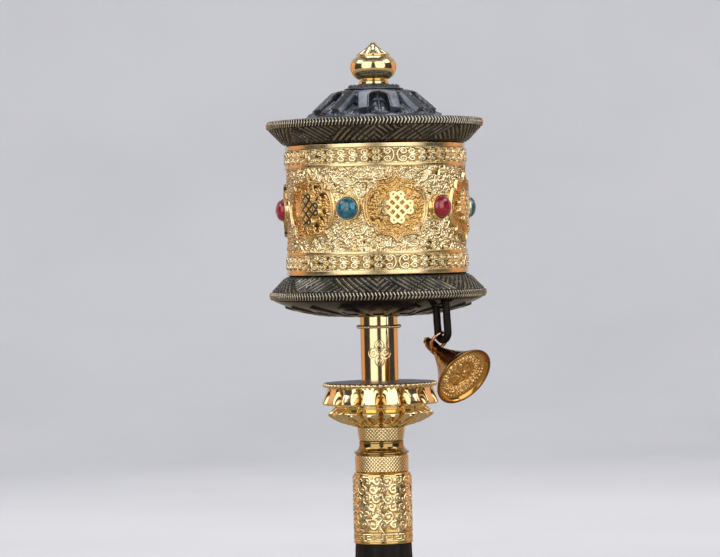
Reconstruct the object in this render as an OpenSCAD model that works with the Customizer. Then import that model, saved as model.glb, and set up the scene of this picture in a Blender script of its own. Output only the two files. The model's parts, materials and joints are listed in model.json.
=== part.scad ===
// Hand-held prayer wheel: a drum on two ball bearings over a gilt and black handle, with a swinging weight.
// The origin is the centre of the end cap's flat bottom. The spin axis is +Z. The viewer's side is -Y.

/* [Handle] */
// Radius of the end cap's straight cylinder
cap_r = 11.2; // [11:0.1:12]
// Height of the end cap
cap_h = 14; // [13:1:18]
// Length of the wooden grip that shows
grip_h = 110; // [95:5:130]
// Radius of the wooden grip at the ferrule
grip_r = 10.4; // [10.2:0.1:10.6]
// How much the grip swells at its middle
grip_swell = 1.2; // [0:0.2:2]
// Height of the engraved ferrule
ferrule_h = 26.2; // [24:0.2:28]
// Radius of the engraved ferrule
ferrule_r = 10.7; // [10.6:0.1:11]
// Radius of the lower knurled band
knurl_r = 9.8; // [9.6:0.1:10]
// Radius of the polished trumpet's rim
trumpet_r = 10.2; // [10:0.1:10.5]

/* [Lotus collar] */
// Number of petals in each row
petals = 15; // [12:1:18]
// Radius at the tips of the upper petals
petal_r = 21.7; // [21.5:0.1:22.5]
// Radius at the tips of the lower petals
low_petal_r = 19.6; // [19.4:0.1:20]
// Radius of the leather disc
disc_r = 20; // [19.8:0.1:20.2]

/* [Shaft] */
// Radius of the spindle
spindle_r = 2.5; // [2.4:0.05:2.5]
// Outer radius of the shaft tube
tube_r = 7; // [6.8:0.1:7.2]
// Height of the open stem between the collar and the drum
stem_h = 24.8; // [24:0.2:27]
// Outer radius of the bead ring on the shaft tube
shaft_ring_r = 8.3; // [8:0.1:8.5]

/* [Drum] */
// Outer radius of the notched rims
rim_r = 40.3; // [40:0.1:41]
// Outer radius of the drum shell
drum_r = 32.7; // [32.5:0.1:33]
// Wall thickness of the drum shell
wall = 1.2; // [1:0.1:1.4]
// Height of the gilt drum
drum_h = 47.6; // [46:0.2:49]
// How far the scroll bands stand out from the shell
band_relief = 1.6; // [1.2:0.1:1.8]
// Outer radius of a medallion
medallion_r = 12; // [11:0.1:12.2]
// Radius of a stone
stone_r = 4; // [3.6:0.1:4.2]

/* [Weight] */
// Angle of the weight round the drum, from +X
weight_angle = -48; // [-180:1:180]
// Angle of the bell's axis out from straight down
bell_tilt = 56; // [50:1:62]
// Radius of the bell's mouth
bell_r = 11.7; // [11:0.1:12]
// Diameter of the leather thong
thong_d = 2.8; // [2.4:0.1:2.8]

/* [Hidden] */
$fn = 96;
cut = 1;               // how far a cutting solid runs past what it cuts

// heights of the handle's joints
z_grip = cap_h;
z_ferrule = z_grip + grip_h;
z_knurl = z_ferrule + ferrule_h;
knurl_h = 6.3;
trumpet_h = 5.1;
z_trumpet = z_knurl + knurl_h;
z_sleeve = z_trumpet + trumpet_h;
sleeve_h = 5.8;
z_lotus = z_sleeve + sleeve_h;
lotus_h = 15.2;
z_disc = z_lotus + lotus_h;
disc_h = 0.9;
disc_lap = 0.4;        // how far the bead ring laps over the disc's edge
tenon_r = 8.8;
tenon_h = 20;
spigot_r = 8;
spigot_h = 8;
cap_round = 3;
spindle_low = 30;      // how deep the spindle goes into the grip, below the ferrule
socket_r = 6;          // bore of the shaft tube
tube_seat = 6.2;       // how deep the tube sits in the collar

// heights of the drum
z_under = z_disc + disc_h + stem_h;
under_rise = 5.7;      // from the base plate's middle to its edge
rim_h = 3;
z_rim = z_under + 5.9;
cone_h = 6.2;
z_drum = z_rim + rim_h + cone_h;
z_lid = z_drum + drum_h;
lid_cone_h = 6.4;
z_lid_rim = z_lid + lid_cone_h;
z_dome = z_lid_rim + rim_h;
dome_h = 12.6;
dome_turn = 5;         // from the viewer's side to the first of the dome's petals
petal_t = 3.6;
z_dome_top = z_dome + dome_h;
running_gap = 0.3;     // between the turning dome and the still finial
z_finial = z_dome_top + running_gap;
finial_bore = 8;       // how deep the spindle's end goes into the finial
plate_t = 1.3;
plate_r = 38.6;

// bearings
bearing_r = 8;
bearing_h = 5;
ball_r = 1.5;
ball_pitch = 5.25;
balls = 8;
inner_ring_r = 4.3;
outer_ring_r = 6.2;
groove_gap = 0.08;
cage_in = 4.75;
cage_out = 5.75;
cage_h = 4;
seat_r = 3.9;
seat_step = 0.5;
core_r = 9;
z_core = z_under + 1.7;
z_low_bearing = z_core;
z_core_top = z_dome_top - 2;
z_top_bearing = z_core_top - bearing_h;
roll_r = 27;           // radius of the paper scroll

// drum trim
band_h = 5.6;
foot_rim = 1.7;        // height of the plain rim under the lower band and over the upper one
mid_rim = 1.2;         // height of the plain rim on a band's other side
rim_relief = 0.9;
z_low_band = z_drum + foot_rim;
z_high_band = z_lid - foot_rim - band_h;
z_middle = z_drum + 24.1;
medallion_turn = 12.3; // from the viewer's side to the first medallion
stone_turn = -17.7;    // from the viewer's side to the first stone
medallions = 6;
front = -90;
medallion_t = 1.3;
stone_at = drum_r + 0.8;  // radius at the back of a stone

// weight: pivot bar in the base plate, and the bend where the thong carries the ring
bar_r = 1;
bar_len = 6.8;
bar_at = [33.6, z_under + 4.15];
drop = [0.8, -10.65];
bend_at = bar_at + drop;
slot_in = 4.7;         // from the bar to the slot's edges
slot_half = 2;
ring_r = 3.6;
ring_wire = 0.6;
eye_r = 1.25;          // bore through the bell's neck, which the ring passes through
bell_neck_r = 2.2;
neck_to_bend = 2 * ring_r;
up_dir = [cos(bell_tilt), sin(bell_tilt)];
neck_at = bend_at - neck_to_bend * up_dir;
tip_len = 6.8;
mouth_len = 18;
dish_depth = 3.4;

stones = ["turquoise", "coral"];

// ---- helpers ----

// Points of an arc from one angle to another
function arc(centre, r, from, to, steps) =
    [for (k = [0:steps]) let (a = from + (to - from) * k / steps) centre + r * [cos(a), sin(a)]];

// Height of the base plate's underside at a radius
function under_z(r) = z_under + under_rise * pow(r / plate_r, 3.5);

// A turned part from its outline, [radius, height] points
module turned(outline) rotate_extrude() polygon(outline);

// A plain tube
module tube(r_out, r_in, low, high) {
    translate([0, 0, low]) difference() {
        cylinder(r = r_out, h = high - low);
        translate([0, 0, -cut]) cylinder(r = r_in, h = high - low + 2 * cut);
    }
}

// Places children on the drum's face, at an angle to the right of the viewer's side, with +Z outward
module on_face(angle, r) {
    rotate([0, 0, front + angle]) translate([r, 0, z_middle]) rotate([0, 90, 0]) children();
}

// ---- handle ----

module end_cap() {
    color("gold") difference() {
        turned(concat([[0, 0]], arc([cap_r - cap_round, cap_round], cap_round, -90, 0, 6),
                      [[cap_r, cap_h], [0, cap_h]]));
        translate([0, 0, cap_h - spigot_h]) cylinder(r = spigot_r, h = spigot_h + cut);
    }
}

module handle_grip() {
    steps = 16;
    side = [for (k = [0:steps])
        [cap_r - 0.3 + (grip_r - cap_r + 0.3) * k / steps + grip_swell * sin(180 * k / steps),
         z_grip + grip_h * k / steps]];
    color("#161514") difference() {
        turned(concat([[0, z_grip - spigot_h], [spigot_r, z_grip - spigot_h], [spigot_r, z_grip]], side,
                      [[tenon_r, z_ferrule], [tenon_r, z_ferrule + tenon_h], [0, z_ferrule + tenon_h]]));
        translate([0, 0, z_ferrule - spindle_low]) cylinder(r = spindle_r, h = spindle_low + tenon_h + cut);
    }
}

module ferrule() {
    z_key_top = z_ferrule + 4.9;   // top of the key-pattern band, which has a raised ring on each side
    ring_h = 0.7;
    ring_out = ferrule_r + 0.25;
    shoulder = 1.2;
    color("gold") difference() {
        turned(concat([[0, z_ferrule], [ring_out, z_ferrule], [ring_out, z_ferrule + ring_h],
                       [ferrule_r, z_ferrule + ring_h], [ferrule_r, z_key_top - ring_h],
                       [ring_out, z_key_top - ring_h], [ring_out, z_key_top], [ferrule_r, z_key_top]],
                      arc([ferrule_r - shoulder, z_knurl - shoulder], shoulder, 0, 90, 6),
                      [[0, z_knurl]]));
        translate([0, 0, z_ferrule - cut]) cylinder(r = tenon_r, h = tenon_h + cut);
        translate([0, 0, z_ferrule]) cylinder(r = spindle_r, h = ferrule_h + cut);
    }
}

// A knurled band with a polished trumpet above it, in one piece
module knurled_collar() {
    waist_r = 7.8;
    edge = 0.3;          // slope and height of the trumpet's rim
    rim_top = z_trumpet + 1.1;
    color("gold") difference() {
        turned([[0, z_knurl], [knurl_r, z_knurl], [knurl_r, z_trumpet + edge],
                [trumpet_r, z_trumpet + 2 * edge], [trumpet_r, rim_top], [trumpet_r - 1.2, rim_top + 0.9],
                [waist_r + 0.5, z_sleeve - 1.6], [waist_r, z_sleeve], [0, z_sleeve]]);
        translate([0, 0, z_knurl - cut]) cylinder(r = spindle_r, h = z_sleeve - z_knurl + 2 * cut);
    }
}

module knurled_sleeve() {
    low_r = 8.2;
    top_r = 9;
    color("gold") difference() {
        turned([[0, z_sleeve], [low_r, z_sleeve], [top_r, z_lotus - 0.5], [top_r, z_lotus], [0, z_lotus]]);
        translate([0, 0, z_sleeve - cut]) cylinder(r = spindle_r, h = sleeve_h + 2 * cut);
    }
}

// The cup that both petal rows are cut from, with a socket for the shaft tube and a hollow under the disc
module lotus_collar() {
    foot_r = 9.4;
    waist_r = 17.2;
    seat = disc_r - disc_lap;
    z_low_tip = z_lotus + 4.6;
    z_high_tip = z_lotus + 8.3;
    floor_h = 5.6;
    wall_w = 3.9;
    hub_w = 1.6;
    color("gold") difference() {
        turned([[0, z_lotus], [foot_r, z_lotus], [foot_r + 1.6, z_lotus + 1.2],
                [low_petal_r - 1.4, z_low_tip - 0.9], [low_petal_r, z_low_tip], [waist_r, z_low_tip + 2.6],
                [petal_r, z_high_tip], [petal_r - 0.9, z_high_tip + 3.2], [seat, z_disc - 0.9],
                [seat, z_disc], [0, z_disc]]);
        translate([0, 0, z_disc - tube_seat]) cylinder(r = tube_r, h = tube_seat + cut);
        translate([0, 0, z_lotus - cut]) cylinder(r = spindle_r, h = lotus_h + cut);
        tube(seat - wall_w, tube_r + hub_w, z_lotus + floor_h, z_disc + cut);
        for (k = [0:petals - 1]) rotate([0, 0, front + 360 * k / petals]) petal_valleys(foot_r, z_high_tip);
    }
}

// The round-bottomed valleys on one line between petals: the upper row's and the lower row's
module petal_valleys(foot_r, z_high_tip) {
    high_w = 1.7;
    low_w = 1.3;
    translate([petal_r + 0.9, 0, z_high_tip - 2]) rotate([0, -6, 0])
        cylinder(r = high_w, h = 8.4, $fn = 24);
    translate([foot_r + 3, 0, z_lotus]) rotate([0, 66, 0]) cylinder(r = low_w, h = 9.5, $fn = 24);
}

module lotus_bead_ring() {
    bead_r = 0.85;
    color("gold") rotate_extrude() translate([disc_r - disc_lap + bead_r, z_disc])
        circle(r = bead_r, $fn = 24);
}

module lotus_leather_disc() {
    color("#3a2226") tube(disc_r - disc_lap, tube_r, z_disc, z_disc + disc_h);
}

module shaft_tube() {
    color("gold") tube(tube_r, socket_r, z_disc - tube_seat, z_low_bearing - seat_step);
}

module shaft_bead_ring() {
    bead_r = 0.65;
    z_ring = z_disc + 21.3;
    color("gold") rotate_extrude() difference() {
        translate([shaft_ring_r - bead_r, z_ring]) circle(r = bead_r, $fn = 24);
        translate([0, z_ring - bead_r]) square([tube_r, 2 * bead_r]);
    }
}

module spindle() {
    low = z_ferrule - spindle_low;
    color("silver") translate([0, 0, low]) cylinder(r = spindle_r, h = z_finial + finial_bore - low);
}

module clamp_nut() {
    nut_h = 4;
    nut_r = 4.6;
    low = z_disc - tube_seat;
    color("silver") difference() {
        translate([0, 0, low]) cylinder(r = nut_r, h = nut_h, $fn = 6);
        translate([0, 0, low - cut]) cylinder(r = spindle_r, h = nut_h + 2 * cut);
    }
}

// A bush in the tube's top, with a narrower step that carries the bearing's inner ring
module bearing_seat() {
    z_step = z_low_bearing - seat_step;
    z_foot = z_step - 7;
    color("goldenrod") difference() {
        turned([[0, z_foot], [socket_r, z_foot], [socket_r, z_step], [seat_r, z_step],
                [seat_r, z_low_bearing], [0, z_low_bearing]]);
        translate([0, 0, z_foot - cut]) cylinder(r = spindle_r, h = z_low_bearing - z_foot + 2 * cut);
    }
}

// ---- ball bearings ----

module ball_groove(low) {
    rotate_extrude() translate([ball_pitch, low + bearing_h / 2]) circle(r = ball_r + groove_gap, $fn = 48);
}

module inner_ring(low) {
    color("silver") difference() {
        tube(inner_ring_r, spindle_r, low, low + bearing_h);
        ball_groove(low);
    }
}

module outer_ring(low) {
    color("silver") difference() {
        tube(bearing_r, outer_ring_r, low, low + bearing_h);
        ball_groove(low);
    }
}

// Places children at each ball's centre
module at_balls(low) {
    for (k = [0:balls - 1]) rotate([0, 0, 360 * k / balls]) translate([ball_pitch, 0, low + bearing_h / 2])
        children();
}

module ball_cage(low) {
    middle = low + bearing_h / 2;
    color("darkgoldenrod") difference() {
        tube(cage_out, cage_in, middle - cage_h / 2, middle + cage_h / 2);
        at_balls(low) sphere(r = ball_r + groove_gap, $fn = 48);
    }
}

module ball_set(low) {
    color("silver") at_balls(low) sphere(r = ball_r, $fn = 48);
}

// ---- drum ----

// The shallow dome under the lower brim, with the bearing boss and the thong's slot
module base_plate() {
    steps = 12;
    inner = tube_r + 0.6;
    radii = [for (k = [0:steps]) inner + (plate_r - inner) * k / steps];
    boss_h = 8;
    boss_w = 1.6;
    color("#3c3936") difference() {
        turned(concat([for (r = radii) [r, under_z(r)]],
                      [for (k = [steps:-1:0]) if (radii[k] > core_r + boss_w)
                          [radii[k], under_z(radii[k]) + plate_t]],
                      [[core_r + boss_w, under_z(core_r) + plate_t], [core_r + boss_w, z_core + boss_h],
                       [core_r, z_core + boss_h], [core_r, z_core], [inner, z_core]]));
        weight_plane() {
            translate([bar_at[0] - slot_in, -slot_half, z_under]) cube([2 * slot_in, 2 * slot_half, 10]);
            bar_solid();
        }
    }
}

module thong_bar() {
    color("#3c3936") weight_plane() bar_solid();
}

module bar_solid() {
    translate([bar_at[0], bar_len / 2, bar_at[1]]) rotate([90, 0, 0]) cylinder(r = bar_r, h = bar_len);
}

// Outline of a notched rim's outer side, from its low edge to its high edge
function rim_side(low) = [[rim_r - 0.9, low], [rim_r, low + 0.6], [rim_r, low + rim_h - 0.6],
                          [rim_r - 0.9, low + rim_h]];

module lower_brim() {
    floor_t = 1.2;
    fit_gap = 0.05;
    inner = plate_r + fit_gap;
    color("#3c3936") turned(concat(rim_side(z_rim),
        [[drum_r, z_drum], [core_r, z_drum], [core_r, z_drum - floor_t], [drum_r - 0.8, z_drum - floor_t],
         [inner, z_rim + rim_h - 0.4], [inner, z_rim]]));
}

module upper_brim() {
    lid_t = 1.4;
    z_plate = z_dome - lid_t;
    color("#3c3936") turned(concat([[drum_r, z_lid]], rim_side(z_lid_rim),
        [[core_r, z_dome], [core_r, z_plate], [rim_r - 2.4, z_plate], [rim_r - 2.4, z_lid_rim + 0.6],
         [drum_r - wall, z_lid + 1.2], [drum_r - wall, z_lid]]));
}

// Lotus dome: a stepped cone with six arched plates on it, open inside for the core tube
module dome() {
    flat_r = 11.4;
    hole_r = 4.8;
    foot_r = 27;
    arches = 6;
    shell = 4.4;
    socket_h = 6;
    color("#42464a") difference() {
        union() {
            turned([[0, z_dome], [foot_r, z_dome], [foot_r - 1, z_dome + 1.2], [21, z_dome + 2.8],
                    [13, z_dome_top - 3.8], [flat_r, z_dome_top - 0.6], [flat_r, z_dome_top],
                    [0, z_dome_top]]);
            for (k = [0:arches - 1]) rotate([0, 0, front + dome_turn + 360 * k / arches]) arched_plate();
        }
        turned([[0, z_dome - cut], [foot_r - shell, z_dome - cut], [foot_r - shell, z_dome],
                [core_r, z_core_top - socket_h], [core_r, z_core_top], [0, z_core_top]]);
        translate([0, 0, z_core_top - cut]) cylinder(r = hole_r, h = z_dome_top - z_core_top + 2 * cut);
        translate([0, 0, z_dome_top]) cylinder(r = foot_r, h = petal_t * 2);
        translate([0, 0, z_dome - petal_t * 2]) cylinder(r = foot_r + petal_t, h = petal_t * 2);
    }
}

// One raised plate on the dome's slope, with a sunken arched window that is open at its foot
module arched_plate() {
    slope = 38;
    plate_w = 15.6;
    window_w = 7;
    window_deep = 1.8;
    translate([17.3, 0, z_dome + 6]) rotate([0, slope, 0]) difference() {
        translate([-5.4, -plate_w / 2, -2]) cube([11, plate_w, petal_t]);
        translate([0, 0, petal_t - 2 - window_deep]) {
            cylinder(d = window_w, h = 2 * window_deep);
            translate([0, -window_w / 2, 0]) cube([9, window_w, 2 * window_deep]);
        }
    }
}

module drum_shell() {
    lip = drum_r + rim_relief;
    z_low_mid = z_low_band + band_h;
    z_high_mid = z_high_band - mid_rim;
    z_top_rim = z_high_band + band_h;
    bevel = 0.4;
    color("gold") turned([[drum_r - wall, z_drum], [lip, z_drum], [lip, z_low_band], [drum_r, z_low_band],
        [drum_r, z_low_mid], [lip, z_low_mid], [lip, z_low_mid + mid_rim], [drum_r, z_low_mid + mid_rim],
        [drum_r, z_high_mid], [lip, z_high_mid], [lip, z_high_band], [drum_r, z_high_band],
        [drum_r, z_top_rim], [lip - bevel, z_top_rim], [lip - bevel, z_lid - bevel],
        [drum_r, z_lid], [drum_r - wall, z_lid]]);
}

module scroll_band(low) {
    bevel = 0.5;
    out = drum_r + band_relief;
    color("gold") turned([[drum_r, low], [out - bevel, low], [out, low + bevel], [out, low + band_h - bevel],
                          [out - bevel, low + band_h], [drum_r, low + band_h]]);
}

module core_tube() {
    color("tan") tube(core_r, bearing_r, z_core, z_core_top);
}

module prayer_scroll() {
    color("ivory") tube(roll_r, core_r, z_drum + 0.6, z_lid - 1);
}

module scroll_ties() {
    tie_t = 0.6;
    tie_h = 4;
    tie_in = 10;         // from each end of the drum
    color("firebrick") for (z = [z_drum + tie_in, z_lid - tie_in - tie_h])
        tube(roll_r + tie_t, roll_r, z, z + tie_h);
}

// A round medallion with an ogee point above and below, curved to the drum, built towards -X
module medallion(k) {
    point_h = 13.2;
    boss_r = 9.6;
    boss_t = 0.5;
    face = drum_r + medallion_t;
    color("gold") rotate([0, 0, front + medallion_turn + 360 * k / medallions + 180]) intersection() {
        translate([0, 0, z_middle]) rotate([0, -90, 0]) medallion_outline(point_h, 2 * drum_r);
        union() {
            tube(face, drum_r, z_middle - point_h - cut, z_middle + point_h + cut);
            intersection() {
                translate([0, 0, z_middle]) rotate([0, -90, 0]) cylinder(r = boss_r, h = 2 * drum_r);
                tube(face + boss_t, face - cut, z_middle - boss_r, z_middle + boss_r);
            }
        }
    }
}

// The medallion's outline as a straight solid: a disc with a pointed shape through it
module medallion_outline(point_h, reach) {
    shoulder = [8, 7.6];
    cylinder(r = medallion_r, h = reach);
    linear_extrude(height = reach) polygon([[point_h, 0], shoulder, [-shoulder[0], shoulder[1]],
                                            [-point_h, 0], -shoulder, [shoulder[0], -shoulder[1]]]);
}

// A plain gilt cup that holds a stone
module stone_setting(k) {
    setting_r = stone_r + 0.5;
    setting_t = 2.6;
    angle = stone_turn + 360 * k / medallions;
    color("gold") difference() {
        on_face(angle, drum_r - cut) cylinder(r = setting_r, h = setting_t + cut);
        cylinder(r = drum_r, h = z_lid);
        on_face(angle, stone_at) cylinder(r = stone_r, h = setting_t);
    }
}

// A domed stone: a short cylinder with a spherical cap
module stone(k, tint) {
    girdle_h = 2;
    crown_h = 2.4;
    ball = (stone_r * stone_r + crown_h * crown_h) / (2 * crown_h);
    color(tint) on_face(stone_turn + 360 * k / medallions, stone_at) {
        cylinder(r = stone_r, h = girdle_h);
        intersection() {
            translate([0, 0, girdle_h + crown_h - ball]) sphere(r = ball);
            translate([0, 0, girdle_h]) cylinder(r = stone_r, h = ball);
        }
    }
}

// ---- finial ----

module finial_spacer() {
    spacer_r = 4.2;
    color("goldenrod") tube(spacer_r, spindle_r, z_core_top, z_finial);
}

// A neck, a round bulb and a pointed cap, turned in one piece and bored for the spindle's end
module finial() {
    neck_r = 5.6;
    neck_h = 1.8;
    bulb_r = 4.9;
    bulb_out = 8.7;
    bulb_mid = 6.6;
    leaf_r = 6.2;
    leaf_at = 11.4;
    tip_at = 15.9;
    z = z_finial;
    color("gold") difference() {
        turned(concat([[0, z], [neck_r, z], [neck_r, z + neck_h - 0.6], [neck_r - 0.4, z + neck_h]],
                      arc([bulb_out - bulb_r, z + bulb_mid], bulb_r, -74, 48, 12),
                      [[leaf_r, z + leaf_at - 0.5], [leaf_r, z + leaf_at], [1.8, z + tip_at - 1.2],
                       [0.9, z + tip_at - 0.2], [0, z + tip_at]]));
        translate([0, 0, z - cut]) cylinder(r = spindle_r, h = finial_bore + cut);
    }
}

// ---- weight ----

// Children in the plane of the weight: +X outward, +Z up
module weight_plane() rotate([0, 0, weight_angle]) children();

// Children in the bell's own frame: origin where the ring passes through the neck, +Z towards the mouth
module bell_frame() {
    weight_plane() translate([neck_at[0], 0, neck_at[1]]) rotate([0, 180 - bell_tilt, 0]) children();
}

// The thong's route, [outward, height] from the bar: over the bar, down outside, round the ring, up inside.
// Its two ends lie side by side over the bar.
thong_route = [
    [0.3, 2.6], [1.4, 2.2], [2.2, 1.4], [2.6, 0.4], [2.7, -0.6], [2.9, -2.6], [3.0, -4.8], [3.2, -7],
    [3.3, -9], [3.4, -10.3], [3.3, -11.4], [2.7, -12.4], [1.8, -13.1], [0.8, -13.3], [-0.2, -13.1],
    [-1.1, -12.4], [-1.7, -11.4], [-1.8, -10.3], [-1.9, -9], [-2.1, -7], [-2.2, -4.8], [-2.4, -2.6],
    [-2.5, -0.6], [-2.6, 0.4], [-2.2, 1.4], [-1.4, 2.2], [-0.3, 2.6]];

// A round tube swept along a route that lies in one plane, as one closed polyhedron
module flat_sweep(route, r, sides) {
    n = len(route);
    ahead = [for (i = [0:n - 1]) route[min(i + 1, n - 1)] - route[max(i - 1, 0)]];
    across = [for (a = ahead) [a[1], -a[0]] / norm(a)];
    points = [for (i = [0:n - 1]) for (k = [0:sides - 1])
        let (w = r * cos(360 * k / sides), t = r * sin(360 * k / sides))
        [route[i][0] + w * across[i][0], t, route[i][1] + w * across[i][1]]];
    walls = [for (i = [0:n - 2]) for (k = [0:sides - 1])
        let (m = (k + 1) % sides)
        [i * sides + k, i * sides + m, (i + 1) * sides + m, (i + 1) * sides + k]];
    ends = [[for (k = [sides - 1:-1:0]) k], [for (k = [0:sides - 1]) (n - 1) * sides + k]];
    polyhedron(points, concat(walls, ends));
}

module leather_thong() {
    color("#1c1513") weight_plane() translate([bar_at[0], 0, bar_at[1]])
        flat_sweep(thong_route, thong_d / 2, 8);
}

module jump_ring() {
    color("peru") bell_frame() translate([-ring_r, 0, 0]) rotate_extrude() translate([ring_r, 0])
        circle(r = ring_wire, $fn = 32);
}

// Outline of the bell's outside, [radius, distance past the ring]
bell_side = [[0, -tip_len], [0.7, -tip_len], [1.5, 1 - tip_len], [2.1, 3 - tip_len],
             [bell_neck_r, -1.5], [bell_neck_r, 1.5],
             [3.1, 3.7], [4.6, 7], [6.6, 10.6], [8.9, 14.1], [bell_r - 0.4, mouth_len - 1.2],
             [bell_r, mouth_len - 0.6], [bell_r, mouth_len]];

module bell_weight() {
    lip = 1;
    color("#8a6224") bell_frame() difference() {
        turned(concat(bell_side, [[0, mouth_len]]));
        translate([0, bell_r, 0]) rotate([90, 0, 0]) cylinder(r = eye_r, h = 2 * bell_r);
        bell_dish(bell_r - lip, 0.8);
    }
}

// The space of the shallow dish in the mouth, deeper by extra
module bell_dish(r, extra) {
    depth = dish_depth + extra;
    turned([[0, mouth_len - depth], [r * 0.55, mouth_len - depth], [r * 0.85, mouth_len - depth + 1],
            [r, mouth_len - 0.4], [r, mouth_len + cut], [0, mouth_len + cut]]);
}

module bell_face() {
    lip = 1;
    color("goldenrod") bell_frame() difference() {
        bell_dish(bell_r - lip, 0.8);
        bell_dish(bell_r - lip - 0.5, 0);
        translate([0, 0, mouth_len]) cylinder(r = bell_r, h = 2 * cut);
    }
}

// ---- nodes ----

end_cap();
handle_grip();
ferrule();
knurled_collar();
knurled_sleeve();
lotus_collar();
lotus_bead_ring();
lotus_leather_disc();
shaft_tube();
shaft_bead_ring();
spindle();
clamp_nut();
bearing_seat();
inner_ring(z_low_bearing);  // lower_inner_ring
inner_ring(z_top_bearing);  // upper_inner_ring
finial_spacer();
finial();
base_plate();
lower_brim();
drum_shell();
scroll_band(z_low_band);  // lower_scroll_band
scroll_band(z_high_band);  // upper_scroll_band
upper_brim();
dome();
core_tube();
outer_ring(z_low_bearing);  // lower_outer_ring
outer_ring(z_top_bearing);  // upper_outer_ring
prayer_scroll();
scroll_ties();
thong_bar();
for (k = [0:medallions - 1]) {
    medallion(k);
    stone_setting(k);
}
for (k = [0:medallions / 2 - 1]) {
    stone(2 * k, "teal");
    stone(2 * k + 1, "crimson");
}
ball_cage(z_low_bearing);  // lower_ball_cage
ball_set(z_low_bearing);  // lower_balls
ball_cage(z_top_bearing);  // upper_ball_cage
ball_set(z_top_bearing);  // upper_balls
leather_thong();
jump_ring();
bell_weight();
bell_face();
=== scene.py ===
"""The looks of a hand-held prayer wheel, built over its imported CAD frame.

Shapes are worked out in millimetres and turned into metres when a mesh is made. Heights and radii come from
the CAD nodes' boxes. Relief is real geometry: a height map is painted with strokes, then lifts the mesh.
"""

import json
import math

import bpy
import numpy as np
from mathutils import Matrix, Vector


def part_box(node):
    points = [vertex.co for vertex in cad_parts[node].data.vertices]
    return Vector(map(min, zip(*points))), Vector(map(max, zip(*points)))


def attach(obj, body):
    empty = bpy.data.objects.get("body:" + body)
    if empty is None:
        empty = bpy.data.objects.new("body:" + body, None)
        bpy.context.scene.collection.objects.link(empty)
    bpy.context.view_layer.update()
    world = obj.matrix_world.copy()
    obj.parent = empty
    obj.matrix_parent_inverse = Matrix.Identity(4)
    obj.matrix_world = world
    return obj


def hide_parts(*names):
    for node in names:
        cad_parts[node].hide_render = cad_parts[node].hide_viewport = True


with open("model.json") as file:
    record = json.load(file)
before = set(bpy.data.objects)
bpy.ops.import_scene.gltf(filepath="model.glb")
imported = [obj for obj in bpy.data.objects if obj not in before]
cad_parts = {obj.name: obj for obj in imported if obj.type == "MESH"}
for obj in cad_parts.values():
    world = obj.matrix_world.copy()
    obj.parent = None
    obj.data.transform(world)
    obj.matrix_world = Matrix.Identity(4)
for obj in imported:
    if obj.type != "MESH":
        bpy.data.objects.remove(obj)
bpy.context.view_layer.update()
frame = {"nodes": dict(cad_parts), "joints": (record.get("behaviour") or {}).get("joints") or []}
scene = bpy.context.scene

MM = 0.001
TAU = 2 * math.pi
FRONT = -math.pi / 2
rng = np.random.default_rng(11)


def heights_of(node):
    """Lowest and highest point of a CAD node."""
    low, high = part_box(node)
    return low[2] / MM, high[2] / MM


def radius_of(node):
    """Outer radius of a CAD node that is round about the spin axis."""
    low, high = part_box(node)
    return (high[0] - low[0]) / 2 / MM


def new_object(name, data):
    """An object in the scene, made of a mesh, a lamp or a camera."""
    made = bpy.data.objects.new(name, data)
    scene.collection.objects.link(made)
    return made


# ---- camera ----

LENS = 160
EYE_DISTANCE = 1185
EYE_HEIGHT = 234
EYE_LEFT = 6.6
LOOK_DOWN = 0.59
LEAN = 1.25

camera_data = bpy.data.cameras.new("camera")
camera_data.lens = LENS
camera_data.sensor_width = 36
camera = new_object("camera", camera_data)
camera.matrix_world = (
    Matrix.Translation(Vector((-EYE_LEFT, -EYE_DISTANCE, EYE_HEIGHT)) * MM)
    @ Matrix.Rotation(math.radians(90 - LOOK_DOWN), 4, "X")
    @ Matrix.Rotation(math.radians(-LEAN), 4, "Z")
)
camera_data.clip_end = 20
scene.camera = camera

# ---- the weight's plane, and the thong, the one cord ----

WEIGHT_ANGLE = math.radians(-48)
OUTWARD = np.array([math.cos(WEIGHT_ANGLE), math.sin(WEIGHT_ANGLE), 0.0])
ACROSS = np.array([-OUTWARD[1], OUTWARD[0], 0.0])
UP = np.array([0.0, 0.0, 1.0])

joints = {joint["name"]: joint for joint in frame["joints"]}
bar_at = np.array(joints["thong_swing"]["pos_m"]) / MM
neck_at = np.array(joints["bell_nod"]["pos_m"]) / MM

THONG_D = 2.8
THONG_ROUTE = [  # [outward, height] from the bar, as in the CAD
    [0.3, 2.6], [1.4, 2.2], [2.2, 1.4], [2.6, 0.4], [2.7, -0.6], [2.9, -2.6], [3.0, -4.8], [3.2, -7],
    [3.3, -9], [3.4, -10.3], [3.3, -11.4], [2.7, -12.4], [1.8, -13.1], [0.8, -13.3], [-0.2, -13.1],
    [-1.1, -12.4], [-1.7, -11.4], [-1.8, -10.3], [-1.9, -9], [-2.1, -7], [-2.2, -4.8], [-2.4, -2.6],
    [-2.5, -0.6], [-2.6, 0.4], [-2.2, 1.4], [-1.4, 2.2], [-0.3, 2.6],
]


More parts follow.
